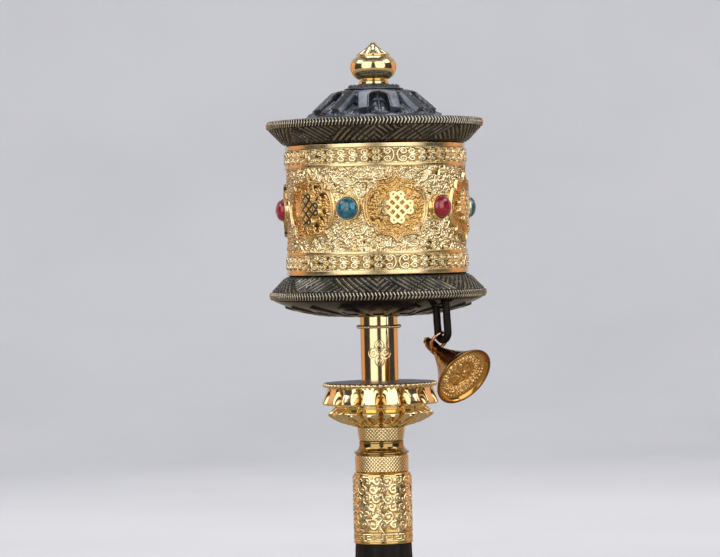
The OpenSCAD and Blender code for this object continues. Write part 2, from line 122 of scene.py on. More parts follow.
def thong_cord():
    """The leather thong: a closed loop of round leather, its two ends side by side over the bar."""
    route = np.array([bar_at + out * OUTWARD + up * UP for out, up in THONG_ROUTE]) * MM
    ends = np.vstack([2 * route[0] - route[1], route, 2 * route[-1] - route[-2]])
    line = []
    for a, b, c, d in zip(ends, ends[1:], ends[2:], ends[3:]):       # a smooth line through the points
        for t in np.arange(5) / 5:
            line.append(b + 0.5 * t * (c - a + t * (2 * a - 5 * b + 4 * c - d + t * (3 * (b - c) + d - a))))
    line = np.array(line + [route[-1]])
    along = np.gradient(line, axis=0)
    along /= np.linalg.norm(along, axis=1)[:, None]
    side = np.cross(along, ACROSS)
    around = 20
    turn = TAU * np.arange(around)[:, None] / around
    rings = line[:, None] + THONG_D / 2 * MM * (np.cos(turn) * ACROSS + np.sin(turn) * side[:, None])
    last = (len(line) - 1) * around
    faces = [[row + k, row + (k + 1) % around, row + around + (k + 1) % around, row + around + k]
             for row in range(0, last, around) for k in range(around)]
    faces += [list(range(around))[::-1], list(range(last, last + around))]
    mesh = bpy.data.meshes.new("thong")
    mesh.from_pydata(rings.reshape(-1, 3).tolist(), [], faces)
    mesh.polygons.foreach_set("use_smooth", [len(face) == 4 for face in faces])
    piece = new_object("thong", mesh)
    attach(piece, "thong")
    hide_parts("leather_thong")
    return piece


thong = thong_cord()

# ---- relief: a height map over a strip ----


class Relief:
    """Heights over a strip of surface. x runs along it and may wrap round; y runs across it."""

    def __init__(self, width, height, pitch, wraps=True):
        self.columns = int(round(width / pitch))
        self.rows = int(round(height / pitch)) + 1
        self.width, self.height, self.wraps = width, height, wraps
        self.dx = width / self.columns
        self.dy = height / (self.rows - 1)
        self.map = np.zeros((self.rows, self.columns))

    def stroke(self, points, radius, top, ends=(1.0, 1.0), flat=1.0):
        """A bead along a line, tapering to ends times its radius. A negative top cuts a groove. flat above 1
        gives it a flat top and steep sides."""
        points = np.asarray(points, float)
        widths = np.interp(np.linspace(0, 1, len(points)), [0, 0.5, 1], [ends[0], 1, ends[1]])
        piece = 10
        for start in range(0, max(len(points) - 1, 1), piece):
            part = points[start:start + piece + 1]
            if len(part) < 2:
                part = np.vstack([part, part + 1e-6])
            self._dab(part, widths[start:start + piece + 1], radius, top, flat)

    def _window(self, low, high):
        """The numbers of the map's columns and rows between two places."""
        columns = np.arange(math.floor(low[0] / self.dx), math.ceil(high[0] / self.dx) + 1)
        if not self.wraps:
            columns = columns[(columns >= 0) & (columns < self.columns)]
        first, last = math.floor(low[1] / self.dy), math.ceil(high[1] / self.dy)
        return columns, np.arange(max(first, 0), min(last, self.rows - 1) + 1)

    def _dab(self, part, widths, radius, top, flat):
        columns, rows = self._window(part.min(0) - radius, part.max(0) + radius)
        if len(rows) == 0 or len(columns) == 0:
            return
        x = (columns * self.dx)[None, :, None]
        y = (rows * self.dy)[:, None, None]
        a, d = part[:-1], np.diff(part, axis=0)
        t = ((x - a[:, 0]) * d[:, 0] + (y - a[:, 1]) * d[:, 1]) / ((d ** 2).sum(1) + 1e-12)
        t = np.clip(t, 0, 1)
        away = np.hypot(a[:, 0] + t * d[:, 0] - x, a[:, 1] + t * d[:, 1] - y)
        if len(widths) < len(part):
            widths = np.ones(len(part))
        wide = radius * (widths[:-1] + t * np.diff(widths))
        lift = np.minimum(np.sqrt(np.clip(1 - (away / wide) ** 2, 0, 1)) * flat, 1) * wide / radius
        lift = lift.max(2) * top
        target = np.ix_(rows, columns % self.columns)
        if top > 0:
            self.map[target] = np.maximum(self.map[target], lift)
        else:
            self.map[target] = np.minimum(self.map[target], lift)

    def dot(self, x, y, radius, top):
        self.stroke([[x, y], [x + 1e-6, y]], radius, top)

    def clear(self, x, y, radius):
        """Takes away what is inside a circle, so that the next motif lies over the last."""
        columns, rows = self._window((x - radius, y - radius), (x + radius, y + radius))
        inside = np.hypot(columns[None, :] * self.dx - x, rows[:, None] * self.dy - y) < radius
        target = np.ix_(rows, columns % self.columns)
        self.map[target] = np.where(inside, 0, self.map[target])

    def at(self, x, y):
        """The height at each place, between the map's own points."""
        column, row = np.broadcast_arrays(x / self.dx, y / self.dy)
        row = np.clip(row, 0, self.rows - 1.001)
        if self.wraps:
            column = column % self.columns
        else:
            column = np.clip(column, 0, self.columns - 1.001)
        i, j = np.floor(column).astype(int) % self.columns, np.floor(row).astype(int)
        u, v = column - np.floor(column), row - j
        right = (i + 1) % self.columns
        low = self.map[j, i] * (1 - u) + self.map[j, right] * u
        high = self.map[j + 1, i] * (1 - u) + self.map[j + 1, right] * u
        return low * (1 - v) + high * v


def ring_of(x, y, radius, angles):
    """Points round a place."""
    return np.stack([x + radius * np.cos(angles), y + radius * np.sin(angles)], 1)


def curl(x, y, radius, turns, start, hand, inner=0.2):
    """A spiral that winds in from its radius to inner times it."""
    t = np.linspace(0, 1, int(14 * turns) + 2)
    angle = start + hand * TAU * turns * t
    r = radius * (1 - (1 - inner) * t)
    return ring_of(x, y, r, angle)


def ease(t):
    """Smooth step from 0 to 1."""
    t = np.clip(t, 0, 1)
    return t * t * (3 - 2 * t)


def wave(x):
    """A triangle wave from 0 to 1 and back, of period 1."""
    return 1 - np.abs(2 * (x - np.floor(x)) - 1)


# ---- meshes ----

SMOOTH_TURN = 12  # degrees: an outline that turns by less than this has no corner to round


def rounded(outline, radius=0.15):
    """An outline with its sharp corners made into small curves."""
    points = [np.array(p, float) for p in outline]
    made = [points[0]]
    for before, corner, after in zip(points, points[1:], points[2:]):
        back, ahead = before - corner, after - corner
        room = min(np.linalg.norm(back), np.linalg.norm(ahead)) * 0.45
        back_way, ahead_way = back / np.linalg.norm(back), ahead / np.linalg.norm(ahead)
        if math.degrees(math.acos(np.clip(-back_way @ ahead_way, -1, 1))) < SMOOTH_TURN:
            made.append(corner)
            continue
        cut = min(radius, room)
        a, b = corner + back_way * cut, corner + ahead_way * cut
        made += [(1 - t) ** 2 * a + 2 * t * (1 - t) * corner + t ** 2 * b for t in (0, 1 / 3, 2 / 3, 1)]
    made.append(points[-1])
    return np.array(made)


def spaced(outline, step, fine=None, fine_step=None):
    """An outline with its points no further apart than step, or fine_step where fine(r, z) holds."""
    made = [outline[0]]
    for a, b in zip(outline, outline[1:]):
        middle = (a + b) / 2
        gap = fine_step if fine is not None and fine(*middle) else step
        parts = max(1, math.ceil(np.linalg.norm(b - a) / gap))
        made += [a + (b - a) * k / parts for k in range(1, parts + 1)]
    return np.array(made)


def above(low, outline):
    """An outline given in heights over low."""
    return [[r, low + z] for r, z in outline]


def arc(centre, radius, start, end, steps):
    """Points of an arc, in degrees."""
    angles = np.radians(np.linspace(start, end, steps + 1))
    return [[centre[0] + radius * math.cos(a), centre[1] + radius * math.sin(a)] for a in angles]


def placed(origin, x, y, z):
    """A 4x4 that puts a shape's own axes at a place in the frame."""
    m = np.eye(4)
    m[:3, 0], m[:3, 1], m[:3, 2], m[:3, 3] = x, y, z, origin
    return m


def on_drum(angle, r, z):
    """A place on the drum's face: x to the viewer's right, y up, z outward."""
    out = np.array([math.cos(angle), math.sin(angle), 0.0])
    along = np.array([-out[1], out[0], 0.0])
    return placed(r * out + z * UP, along, UP, out)


class Piece:
    """Patches of mesh, gathered into one object."""

    def __init__(self):
        self.points, self.tones, self.quads, self.tris, self.count = [], [], [], [], 0

    def add(self, points, quads, tris=None, tones=None, place=None):
        points = np.asarray(points, float).reshape(-1, 3)
        if place is not None:
            points = points @ place[:3, :3].T + place[:3, 3]
        self.quads.append(np.asarray(quads, int).reshape(-1, 4) + self.count)
        if tris is not None:
            self.tris.append(np.asarray(tris, int).reshape(-1, 3) + self.count)
        self.points.append(points)
        self.tones.append(np.full(len(points), 0.7) if tones is None else np.asarray(tones, float).ravel())
        self.count += len(points)

    def grid(self, points, tones=None, wraps=False, place=None):
        """A sheet of points, rows by columns. A row whose points are all in one place becomes a pole."""
        rows, columns = points.shape[:2]
        numbers = np.arange(rows * columns).reshape(rows, columns)
        spread = np.abs(points - points[:, :1]).max(axis=(1, 2))
        if wraps:
            for row in np.nonzero(spread < 1e-9)[0]:
                numbers[row] = numbers[row, 0]
        left = numbers if wraps else numbers[:, :-1]
        right = np.roll(numbers, -1, axis=1) if wraps else numbers[:, 1:]
        faces = np.stack([left[:-1], right[:-1], right[1:], left[1:]], -1).reshape(-1, 4)
        low_pole, high_pole = faces[:, 0] == faces[:, 1], faces[:, 2] == faces[:, 3]
        quads = faces[~(low_pole | high_pole)]
        tris = np.vstack([faces[low_pole][:, [0, 2, 3]], faces[high_pole][:, [0, 1, 2]]])
        used, where = np.unique(np.concatenate([quads.ravel(), tris.ravel()]), return_inverse=True)
        quads, tris = where[:quads.size].reshape(-1, 4), where[quads.size:].reshape(-1, 3)
        flat_tones = None if tones is None else np.broadcast_to(tones, (rows, columns)).ravel()[used]
        self.add(points.reshape(-1, 3)[used], quads, tris, flat_tones, place)

    def turned(self, outline, count, relief=None, top=None, place=None, start=0.0, tone=None):
        """A turned surface with its outline going up the outside. relief(angle, length, r, z) lifts it.
        tone(lift, length) gives its tone: on gilt, painted shade in the recesses and a painted highlight on
        what stands out; on blackened metal, wear on the crests."""
        outline = np.asarray(outline, float)
        along = np.gradient(outline, axis=0)
        along /= np.linalg.norm(along, axis=1)[:, None] + 1e-12
        lengths = np.concatenate([[0], np.cumsum(np.linalg.norm(np.diff(outline, axis=0), axis=1))])
        angles = start + TAU * np.arange(count) / count
        r, z = outline[:, :1], outline[:, 1:]
        lift = np.zeros((len(outline), count))
        if relief is not None:
            lift = lift + relief(angles[None, :], lengths[:, None], r, z)
        out = r + lift * along[:, 1:]
        up = z - lift * along[:, :1]
        points = np.stack([out * np.cos(angles), out * np.sin(angles), up + 0 * angles], -1)
        # lower surface, lower tone: painted shade in the grooves on gilt, less wear on blackened metal
        tones = None if top is None else 0.15 + 0.85 * np.clip(lift / top, 0, 1)
        if tone is not None:
            tones = tone(lift, lengths[:, None])
        self.grid(points, tones, wraps=True, place=place)

    def balls(self, places, size, around=12, up=8, tone=0.95):
        """Copies of one bead, given as places (4x4) and its three half-sizes."""
        tilt = np.linspace(-math.pi / 2, math.pi / 2, up + 1)[1:-1]
        turn = TAU * np.arange(around) / around
        ring = np.stack([np.cos(tilt)[:, None] * np.cos(turn), np.cos(tilt)[:, None] * np.sin(turn),
                         np.sin(tilt)[:, None] + 0 * turn], -1).reshape(-1, 3)
        shape = np.vstack([ring, [[0, 0, -1], [0, 0, 1]]]) * size
        numbers = np.arange(len(ring)).reshape(up - 1, around)
        nexts = np.roll(numbers, -1, axis=1)
        quads = np.stack([numbers[:-1], nexts[:-1], nexts[1:], numbers[1:]], -1).reshape(-1, 4)
        low, high = len(ring), len(ring) + 1
        tris = np.vstack([np.stack([nexts[0], numbers[0], np.full(around, low)], -1),
                          np.stack([numbers[-1], nexts[-1], np.full(around, high)], -1)])
        for place in places:
            self.add(shape, quads, tris, np.full(len(shape), tone), place)

    def mesh(self, name, material):
        """The patches as one smooth mesh, in metres."""
        points = np.concatenate(self.points) * MM
        groups = [np.concatenate(g) for g in (self.quads, self.tris) if g and sum(map(len, g))]
        corners = np.concatenate([g.ravel() for g in groups])
        sizes = np.concatenate([np.full(len(g), g.shape[1]) for g in groups])
        mesh = bpy.data.meshes.new(name)
        mesh.vertices.add(len(points))
        mesh.vertices.foreach_set("co", points.ravel())
        mesh.loops.add(len(corners))
        mesh.loops.foreach_set("vertex_index", corners)
        mesh.polygons.add(len(sizes))
        mesh.polygons.foreach_set("loop_start", np.concatenate([[0], np.cumsum(sizes)[:-1]]))
        mesh.update(calc_edges=True)
        mesh.polygons.foreach_set("use_smooth", np.ones(len(sizes), bool))
        tone = mesh.attributes.new("tone", "FLOAT", "POINT")
        tone.data.foreach_set("value", np.concatenate(self.tones))
        mesh.materials.append(material)
        return mesh

    def made(self, name, body, material, slot, *nodes, sharp=None):
        """Makes the object, ties it to its body and hides the CAD nodes it stands for. The material slot is
        not used.
        """
        mesh = self.mesh(name, material)
        if sharp is not None:
            mesh.set_sharp_from_angle(angle=math.radians(sharp))
        piece = new_object(name, mesh)
        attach(piece, body)
        if nodes:
            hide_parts(*nodes)
        return piece


# ---- materials ----


class Nodes:
    """A material's nodes, with short calls for the kinds used here."""

    def __init__(self, name, metallic=0.0, roughness=0.4, **sockets):
        self.material = bpy.data.materials.new(name)
        self.material.use_nodes = True
        self.tree = self.material.node_tree
        self.shader = self.tree.nodes["Principled BSDF"]
        self.shader.inputs["Metallic"].default_value = metallic
        self.shader.inputs["Roughness"].default_value = roughness
        for key, value in sockets.items():
            self.shader.inputs[key.replace("_", " ")].default_value = value
        self.place = self.node("ShaderNodeTexCoord").outputs["Object"]

    def node(self, kind, **values):
        made = self.tree.nodes.new(kind)
        for key, value in values.items():
            setattr(made, key, value)
        return made

    def link(self, source, target):
        self.tree.links.new(source, target)

    def noise(self, size, detail=4.0, rough=0.5, stretch=None):
        """Noise whose cells are about size millimetres."""
        made = self.node("ShaderNodeTexNoise")
        made.inputs["Scale"].default_value = 1 / (size * MM)
        made.inputs["Detail"].default_value = detail
        made.inputs["Roughness"].default_value = rough
        place = self.place
        if stretch is not None:
            mapping = self.node("ShaderNodeMapping")
            mapping.inputs["Scale"].default_value = stretch
            self.link(place, mapping.inputs["Vector"])
            place = mapping.outputs["Vector"]
        self.link(place, made.inputs["Vector"])
        return made.outputs["Fac"]

    def cells(self, size, feature="F1"):
        made = self.node("ShaderNodeTexVoronoi", feature=feature)
        made.inputs["Scale"].default_value = 1 / (size * MM)
        self.link(self.place, made.inputs["Vector"])
        return made.outputs["Distance"]

    def attribute(self, name):
        return self.node("ShaderNodeAttribute", attribute_name=name).outputs["Fac"]

    def pointiness(self):
        return self.node("ShaderNodeNewGeometry").outputs["Pointiness"]

    def spread(self, value, low, high, out_low=0.0, out_high=1.0):
        """A value moved from one range to another, held at the ends."""
        made = self.node("ShaderNodeMapRange")
        for key, number in (("From Min", low), ("From Max", high), ("To Min", out_low), ("To Max", out_high)):
            made.inputs[key].default_value = number
        self.link(value, made.inputs["Value"])
        return made.outputs["Result"]

    def times(self, a, b):
        made = self.node("ShaderNodeMath", operation="MULTIPLY")
        for socket, value in zip(made.inputs, (a, b)):
            if isinstance(value, (int, float)):
                socket.default_value = value
            else:
                self.link(value, socket)
        return made.outputs[0]

    def ramp(self, value, stops):
        """Colours along a value, [place, (r, g, b)]."""
        made = self.node("ShaderNodeValToRGB")
        while len(made.color_ramp.elements) < len(stops):
            made.color_ramp.elements.new(0.5)
        for element, (place, colour) in zip(made.color_ramp.elements, stops):
            element.position = place
            element.color = (*colour, 1)
        self.link(value, made.inputs["Fac"])
        return made.outputs["Color"]

    def mixed(self, amount, a, b):
        made = self.node("ShaderNodeMix", data_type="RGBA")
        for socket, value in ((made.inputs["Factor"], amount), (made.inputs[6], a), (made.inputs[7], b)):
            if isinstance(value, tuple):
                socket.default_value = (*value, 1)
            elif isinstance(value, (int, float)):
                socket.default_value = value
            else:
                self.link(value, socket)
        return made.outputs[2]

    def bumped(self, value, strength, depth):
        made = self.node("ShaderNodeBump")
        made.inputs["Strength"].default_value = strength
        made.inputs["Distance"].default_value = depth * MM
        self.link(value, made.inputs["Height"])
        self.link(made.outputs["Normal"], self.shader.inputs["Normal"])

    def colour(self, value):
        self.link(value, self.shader.inputs["Base Color"])
        return self.material

    def roughness(self, value):
        self.link(value, self.shader.inputs["Roughness"])


# The gilt's three tone stops: painted shade for the recesses, the gilt's own colour, and a painted highlight
# for what stands out.
GOLD_PAINTED_SHADE, GOLD_MID, GOLD_PAINTED_HIGHLIGHT = (0.10, 0.05, 0.012), (0.84, 0.58, 0.23), (1.0, 0.83, 0.50)


def gilt(name, low_rough, high_rough, bump=0.25, mid=GOLD_MID, high=GOLD_PAINTED_HIGHLIGHT):
    """Gilt brass: painted shade in the recesses and a painted highlight on what stands out, with paler edges,
    faint stains and scratches.
    """
    n = Nodes(name, metallic=1.0)
    tone = n.attribute("tone")
    stain = n.noise(9, detail=6)
    # the tone ramp paints shade low in the relief and a highlight on its tops
    colour = n.ramp(tone, [(0.0, GOLD_PAINTED_SHADE), (0.35, mid), (0.9, high)])
    colour = n.mixed(n.spread(stain, 0.5, 0.75, 0, 0.22), colour, (0.80, 0.46, 0.13))
    edge = n.spread(n.pointiness(), 0.52, 0.6, 0, 0.5)
    colour = n.mixed(edge, colour, (1.0, 0.88, 0.6))
    n.roughness(n.spread(n.noise(3.5, detail=8, rough=0.65), 0.3, 0.7, low_rough, high_rough))
    n.bumped(n.noise(0.6, detail=5, rough=0.6), bump, 0.03)
    return n.colour(colour)


def blackened(name, low_rough, high_rough, dark, mid, light, wear=1.0):
    """Blackened casting: gunmetal, with brassy wear on its crests."""
    n = Nodes(name, metallic=0.9)
    tone = n.attribute("tone")
    cloud = n.noise(7, detail=6)
    base = n.ramp(cloud, [(0.3, dark), (0.55, mid), (0.75, light)])
    patches = n.spread(n.noise(4, detail=5), 0.3, 0.55)
    worn = n.times(n.spread(tone, 0.5, 1.0, 0, 0.9 * wear), patches)
    colour = n.mixed(worn, base, (0.62, 0.55, 0.40))
    bright = n.spread(tone, 0.82, 1.0, 0, wear)
    colour = n.mixed(bright, colour, (0.93, 0.86, 0.66))
    raised = n.spread(tone, 0.1, 0.3)        # keeps the edge wear to the relief
    edge = n.times(n.spread(n.pointiness(), 0.53, 0.62, 0, 0.6 * wear), raised)
    colour = n.mixed(edge, colour, (0.55, 0.5, 0.4))
    rough = n.spread(n.noise(2.5, detail=8, rough=0.7), 0.3, 0.7, low_rough, high_rough)
    n.roughness(n.times(rough, n.spread(tone, 0.6, 1.0, 1.0, 0.7)))
    n.bumped(n.noise(0.5, detail=6, rough=0.65), 0.35, 0.04)
    return n.colour(colour)


def plain_metal(name, dark, light, roughness, stretch=(1, 1, 1)):
    n = Nodes(name, metallic=1.0)
    n.roughness(n.spread(n.noise(1.5, detail=7, stretch=stretch), 0.3, 0.7, roughness * 0.7, roughness * 1.3))
    n.bumped(n.noise(0.3, detail=4, stretch=stretch), 0.2, 0.02)
    return n.colour(n.ramp(n.noise(6, detail=5), [(0.3, dark), (0.7, light)]))


def stone_material(name, dark, mid, light, veins):
    n = Nodes(name, roughness=0.12, Coat_Weight=1.0, Coat_Roughness=0.04, IOR=1.6)
    mottle = n.noise(1.6, detail=8, rough=0.65)
    colour = n.ramp(mottle, [(0.32, dark), (0.5, mid), (0.68, light)])
    vein = n.spread(n.noise(2.6, detail=10, rough=0.75), 0.495, 0.53, 1, 0)
    colour = n.mixed(n.times(vein, veins), colour, dark)
    n.roughness(n.spread(n.noise(1, detail=6), 0.3, 0.7, 0.08, 0.25))
    return n.colour(colour)


def leather(name, dark, light, roughness, coat=0.25, gloss=0.4):
    n = Nodes(name, roughness=roughness, Coat_Weight=coat, Coat_Roughness=0.25, Specular_IOR_Level=gloss)
    grain = n.cells(0.55, "SMOOTH_F1")
    n.bumped(grain, 0.4, 0.08)
    n.roughness(n.spread(n.noise(1.2, detail=6), 0.3, 0.7, roughness * 0.75, roughness * 1.3))
    return n.colour(n.ramp(n.noise(2.2, detail=7, rough=0.6), [(0.3, dark), (0.7, light)]))


gold_polished = gilt("gilt_polished", 0.06, 0.16, 0.05)
gold_bright = gilt("gilt_bright", 0.1, 0.22, 0.12, mid=(0.92, 0.69, 0.33), high=(1.0, 0.88, 0.58))
gold_satin = gilt("gilt_satin", 0.2, 0.36)
gold_deep = gilt("gilt_deep", 0.1, 0.24, mid=(0.74, 0.42, 0.12), high=(0.97, 0.76, 0.4))
gold_warm = gilt("gilt_warm", 0.12, 0.26, 0.12, mid=(0.74, 0.38, 0.09), high=(1.0, 0.66, 0.27))
dark_cast = blackened("blackened_cast", 0.2, 0.36,
                      (0.03, 0.03, 0.031), (0.06, 0.06, 0.058), (0.1, 0.088, 0.066))
plate_cast = blackened("blackened_plate", 0.14, 0.3,
                       (0.016, 0.017, 0.02), (0.03, 0.032, 0.036), (0.05, 0.052, 0.056), 0.12)
# a lighter blue-grey copy of the blackened casting for the dome: a painted reflection of a cool light from
# above
painted_sky_cast = blackened("blackened_painted_sky", 0.2, 0.36,
                      (0.07, 0.078, 0.095), (0.13, 0.145, 0.175), (0.19, 0.205, 0.24), 0.35)
steel = plain_metal("ground_steel", (0.42, 0.42, 0.43), (0.62, 0.62, 0.63), 0.28, (1, 1, 8))
brass = plain_metal("turned_brass", (0.55, 0.38, 0.14), (0.72, 0.55, 0.26), 0.3, (1, 1, 6))
copper = plain_metal("copper_wire", (0.72, 0.36, 0.2), (0.93, 0.6, 0.42), 0.16)
antique = plain_metal("antique_brass", (0.26, 0.11, 0.022), (0.5, 0.25, 0.06), 0.22)
turquoise = stone_material("turquoise_stone", (0.0, 0.03, 0.05), (0.0, 0.17, 0.25), (0.015, 0.33, 0.42), 0.6)
coral = stone_material("coral_stone", (0.14, 0.0, 0.008), (0.33, 0.0, 0.018), (0.48, 0.008, 0.04), 0.3)
maroon_leather = leather("maroon_leather", (0.035, 0.012, 0.013), (0.10, 0.04, 0.045), 0.5)
black_leather = leather("black_leather", (0.003, 0.002, 0.0015), (0.009, 0.005, 0.0035), 0.4, 0.0, 0.18)
thong.data.materials.append(black_leather)


def lacquered_wood():
    n = Nodes("black_lacquer", roughness=0.5, Specular_IOR_Level=0.15)
    grain = n.noise(2.2, detail=8, rough=0.6, stretch=(1, 1, 0.06))
    n.bumped(grain, 0.25, 0.06)
    n.roughness(n.spread(grain, 0.35, 0.65, 0.45, 0.62))
    return n.colour(n.ramp(grain, [(0.35, (0.006, 0.0055, 0.005)), (0.7, (0.022, 0.019, 0.016))]))


def paper():
    n = Nodes("scroll_paper", roughness=0.8)
    edges = n.noise(0.5, detail=4, stretch=(1, 1, 0.05))
    n.bumped(edges, 0.5, 0.1)
    return n.colour(n.ramp(n.noise(5, detail=8), [(0.3, (0.66, 0.56, 0.38)), (0.7, (0.84, 0.77, 0.6))]))


def card():
    n = Nodes("card_tube", roughness=0.75)
    fibre = n.noise(0.7, detail=8, rough=0.7, stretch=(1, 1, 3))
    n.bumped(fibre, 0.4, 0.08)
    return n.colour(n.ramp(fibre, [(0.3, (0.34, 0.24, 0.14)), (0.7, (0.54, 0.42, 0.27))]))


def tape():
    n = Nodes("cotton_tape", roughness=0.85, Sheen_Weight=0.4)
    weave = n.cells(0.35)
    n.bumped(weave, 0.6, 0.1)
    return n.colour(n.ramp(weave, [(0.1, (0.5, 0.03, 0.03)), (0.7, (0.26, 0.012, 0.015))]))


black_wood = lacquered_wood()

# the CAD nodes that stay: what is inside the wheel
KEPT = {
    steel: ["spindle", "clamp_nut", "lower_inner_ring", "upper_inner_ring", "lower_outer_ring",
            "upper_outer_ring", "lower_balls", "upper_balls"],
    brass: ["bearing_seat", "finial_spacer", "lower_ball_cage", "upper_ball_cage"],
    card(): ["core_tube"],
    paper(): ["prayer_scroll"],
    tape(): ["scroll_ties"],
    plain_metal("bar_metal", (0.05, 0.05, 0.055), (0.14, 0.13, 0.12), 0.4): ["thong_bar"],
}
for material, names in KEPT.items():
    for name in names:
        node = frame["nodes"][name]
        node.data.materials.clear()
        node.data.materials.append(material)

# ---- handle ----


def end_cap():
    low, high = heights_of("end_cap")
    r = radius_of("end_cap")
    outline = [[0, low], *arc([r - 3, low + 3], 3, -90, 0, 10),
               *above(low, [[r, 6.2], [r - 0.5, 6.5], [r - 0.5, 7.1], [r, 7.4]]),
               *above(high, [[r, -2.2], [r - 0.5, -1.9], [r - 0.5, -1.3], [r, -1], [r, -0.3], [r - 0.4, 0],
                             [7.5, 0]])]
    piece = Piece()
    piece.turned(spaced(rounded(outline), 0.5), 192)
    piece.made("end_cap_gilt", "handle", gold_polished, "gilt_brass", "end_cap")


def grip():
    low, high = heights_of("end_cap")[1], heights_of("ferrule")[0]
    foot, top, swell = radius_of("end_cap") - 0.3, 10.4, 1.2
    t = np.linspace(0, 1, 60)
    side = np.stack([foot + (top - foot) * t + swell * np.sin(math.pi * t), low + (high - low) * t], 1)
    piece = Piece()
    piece.turned(np.vstack([[[6, low]], side, [[6, high]]]), 160,
                 lambda a, s, r, z: 0.015 * np.sin(9 * a + z * 0.02) + 0.01 * np.sin(23 * a))
    piece.made("grip_wood", "handle", black_wood, "black_wood", "handle_grip", sharp=40)


def vine(relief, y_low, y_high, pitch, wire, top, turns, flat=1.6, fans=0.0):
    """Scrolling foliage: plump spirals with leaves. fans is the share of motifs that are nested cloud arcs,
    laid over one another."""
    columns = int(round(relief.width / pitch))
    pitch = relief.width / columns
    rows = max(1, int(round((y_high - y_low) / (pitch * 0.86))))
    step = (y_high - y_low) / rows
    cells = [(column, row) for row in range(rows) for column in range(columns)]
    if fans:
        cells = [cells[k] for k in rng.permutation(len(cells))]
    for column, row in cells:
        loose = 0.2 if fans else 0.08
        x = (column + 0.5 * (row % 2)) * pitch + rng.normal(0, loose * pitch)
        y = y_low + (row + 0.5) * step + rng.normal(0, loose * 0.6 * pitch)
        hand = 1 if (column + row) % 2 else -1
        start = rng.uniform(0, TAU)
        if rng.uniform() < fans:
            size = pitch * rng.uniform(0.65, 0.95)
            relief.clear(x, y, size + wire * 0.4)
            count = int(size / (wire * 2.15)) + 1
            for k in range(count):
                radius = size - k * wire * 2.25
                if radius < wire * 0.8:
                    break
                half = math.pi * (0.62 - 0.07 * k)
                turn = start + np.linspace(-half, half, 16)
                rise = top * (0.8 + 0.2 * k / count)
                relief.stroke(ring_of(x, y, radius, turn), wire, rise, (0.5, 0.5), flat)
            continue
        size = pitch * rng.uniform(0.42, 0.55)
        if fans:
            size *= 1.25
            relief.clear(x, y, size + wire)
        rise = top * rng.uniform(0.75, 1)
        relief.stroke(curl(x, y, size, turns, start, hand, 0.1), wire, rise, (0.8, 0.9), flat)
        for swing, reach, wide in ((-1.0, 1.9, 1.3), (-0.45, 1.6, 1.0)):
            bends = start + hand * swing * np.array([0, 0.55, 1])
            leaf = ring_of(x, y, size * np.array([1, reach * 0.8, reach]), bends)
            relief.stroke(leaf, wire * wide, top * 0.8, (0.4, 0.2), flat)


def short_strokes(relief, tries, wire, top):
    """Bent chasing strokes wherever the surface is still bare."""
    low, high = (0, 0, 0, 0.45), (relief.width, relief.height, TAU, 0.95)
    for x, y, turn, size in rng.uniform(low, high, (tries, 4)):
        if relief.at(np.array(x), np.array(y)) < 0.05:
            relief.stroke(curl(x, y, size, 0.4, turn, 1, 0.9), wire, top, (0.5, 0.3), 1.4)


def ferrule():
    low, high = heights_of("ferrule")
    r = 10.7
    key_low, key_high = low + 0.7, low + 4.2
    relief = Relief(TAU * r, high - low, 0.1)
    unit = relief.width / 18
    middle = (key_low + key_high) / 2 - low
    for k in range(18):
        x = k * unit
        for line in ([[0, -1.3], [1, -1.3]],
                     [[0.1, 1.05], [0.9, 1.05], [0.9, -0.7], [0.32, -0.7], [0.32, 0.3], [0.6, 0.3]]):
            relief.stroke([[x + u * unit, middle + v] for u, v in line], 0.24, 0.24, flat=1.6)
    vine(relief, 5.3, high - low - 1.2, 3.9, 0.5, 0.36, 1.3, 3.0)
    lip = r + 0.25
    outline = [[8.9, low], [lip, low], [lip, key_low], [r, key_low], [r, key_high], [lip, key_high],
               [lip, low + 4.9], [r, low + 4.9], *arc([r - 1.2, high - 1.2], 1.2, 0, 90, 8), [8, high]]

    def lift(a, s, rr, z):
        return relief.at((a - FRONT) * r, z - low) * ease((high - 1 - z) / 0.8) * (rr > r - 0.3)

    piece = Piece()
    outline = spaced(rounded(outline, 0.12), 0.6, lambda rr, z: rr > r - 0.4, 0.16)
    # painted shade on the unraised surface and a painted highlight on the raised key and vine
    piece.turned(outline, 440, lift, start=FRONT,
                 tone=lambda lifts, s: 0.3 + 0.7 * np.clip(lifts / 0.22, 0, 1))
    piece.made("ferrule_chased", "handle", gold_polished, "gilt_brass", "ferrule")


def knurl(count, low, high):
    """Diamond knurling between two heights: flat diamonds between narrow crossed cuts."""
    slope = 0.72          # diamonds per millimetre of height

    def lift(a, s, r, z):
        one, two = wave(a * count / TAU + z * slope), wave(a * count / TAU - z * slope)
        cuts = 0.16 * np.minimum(np.minimum(one, two) / 0.35, 1)
        return cuts * ease((z - low - 0.25) / 0.2) * ease((high - z) / 0.2)

    return lift


def collar():
    low, high = heights_of("knurled_collar")
    trumpet = low + 6.3
    outline = [[8, low], [9.55, low], [9.7, low + 0.3],
               *above(trumpet, [[9.7, -0.3], [9.5, 0], [9.5, 0.25], [10.2, 0.6], [10.2, 1.0], [9.9, 1.3],
                                [9.2, 1.8], [8.6, 2.5], [8.3, 3.2]]),
               [8.15, high - 0.7], [8.3, high - 0.5], [8.3, high], [7, high]]
    piece = Piece()
    # through top, the knurl's cuts get painted shade and its diamonds a painted highlight
    piece.turned(spaced(rounded(outline, 0.12), 0.3, lambda r, z: z < trumpet, 0.14), 504,
                 knurl(44, low, trumpet - 0.25), top=0.12, start=FRONT)
    piece.made("collar_knurled", "handle", gold_polished, "gilt_brass", "knurled_collar")


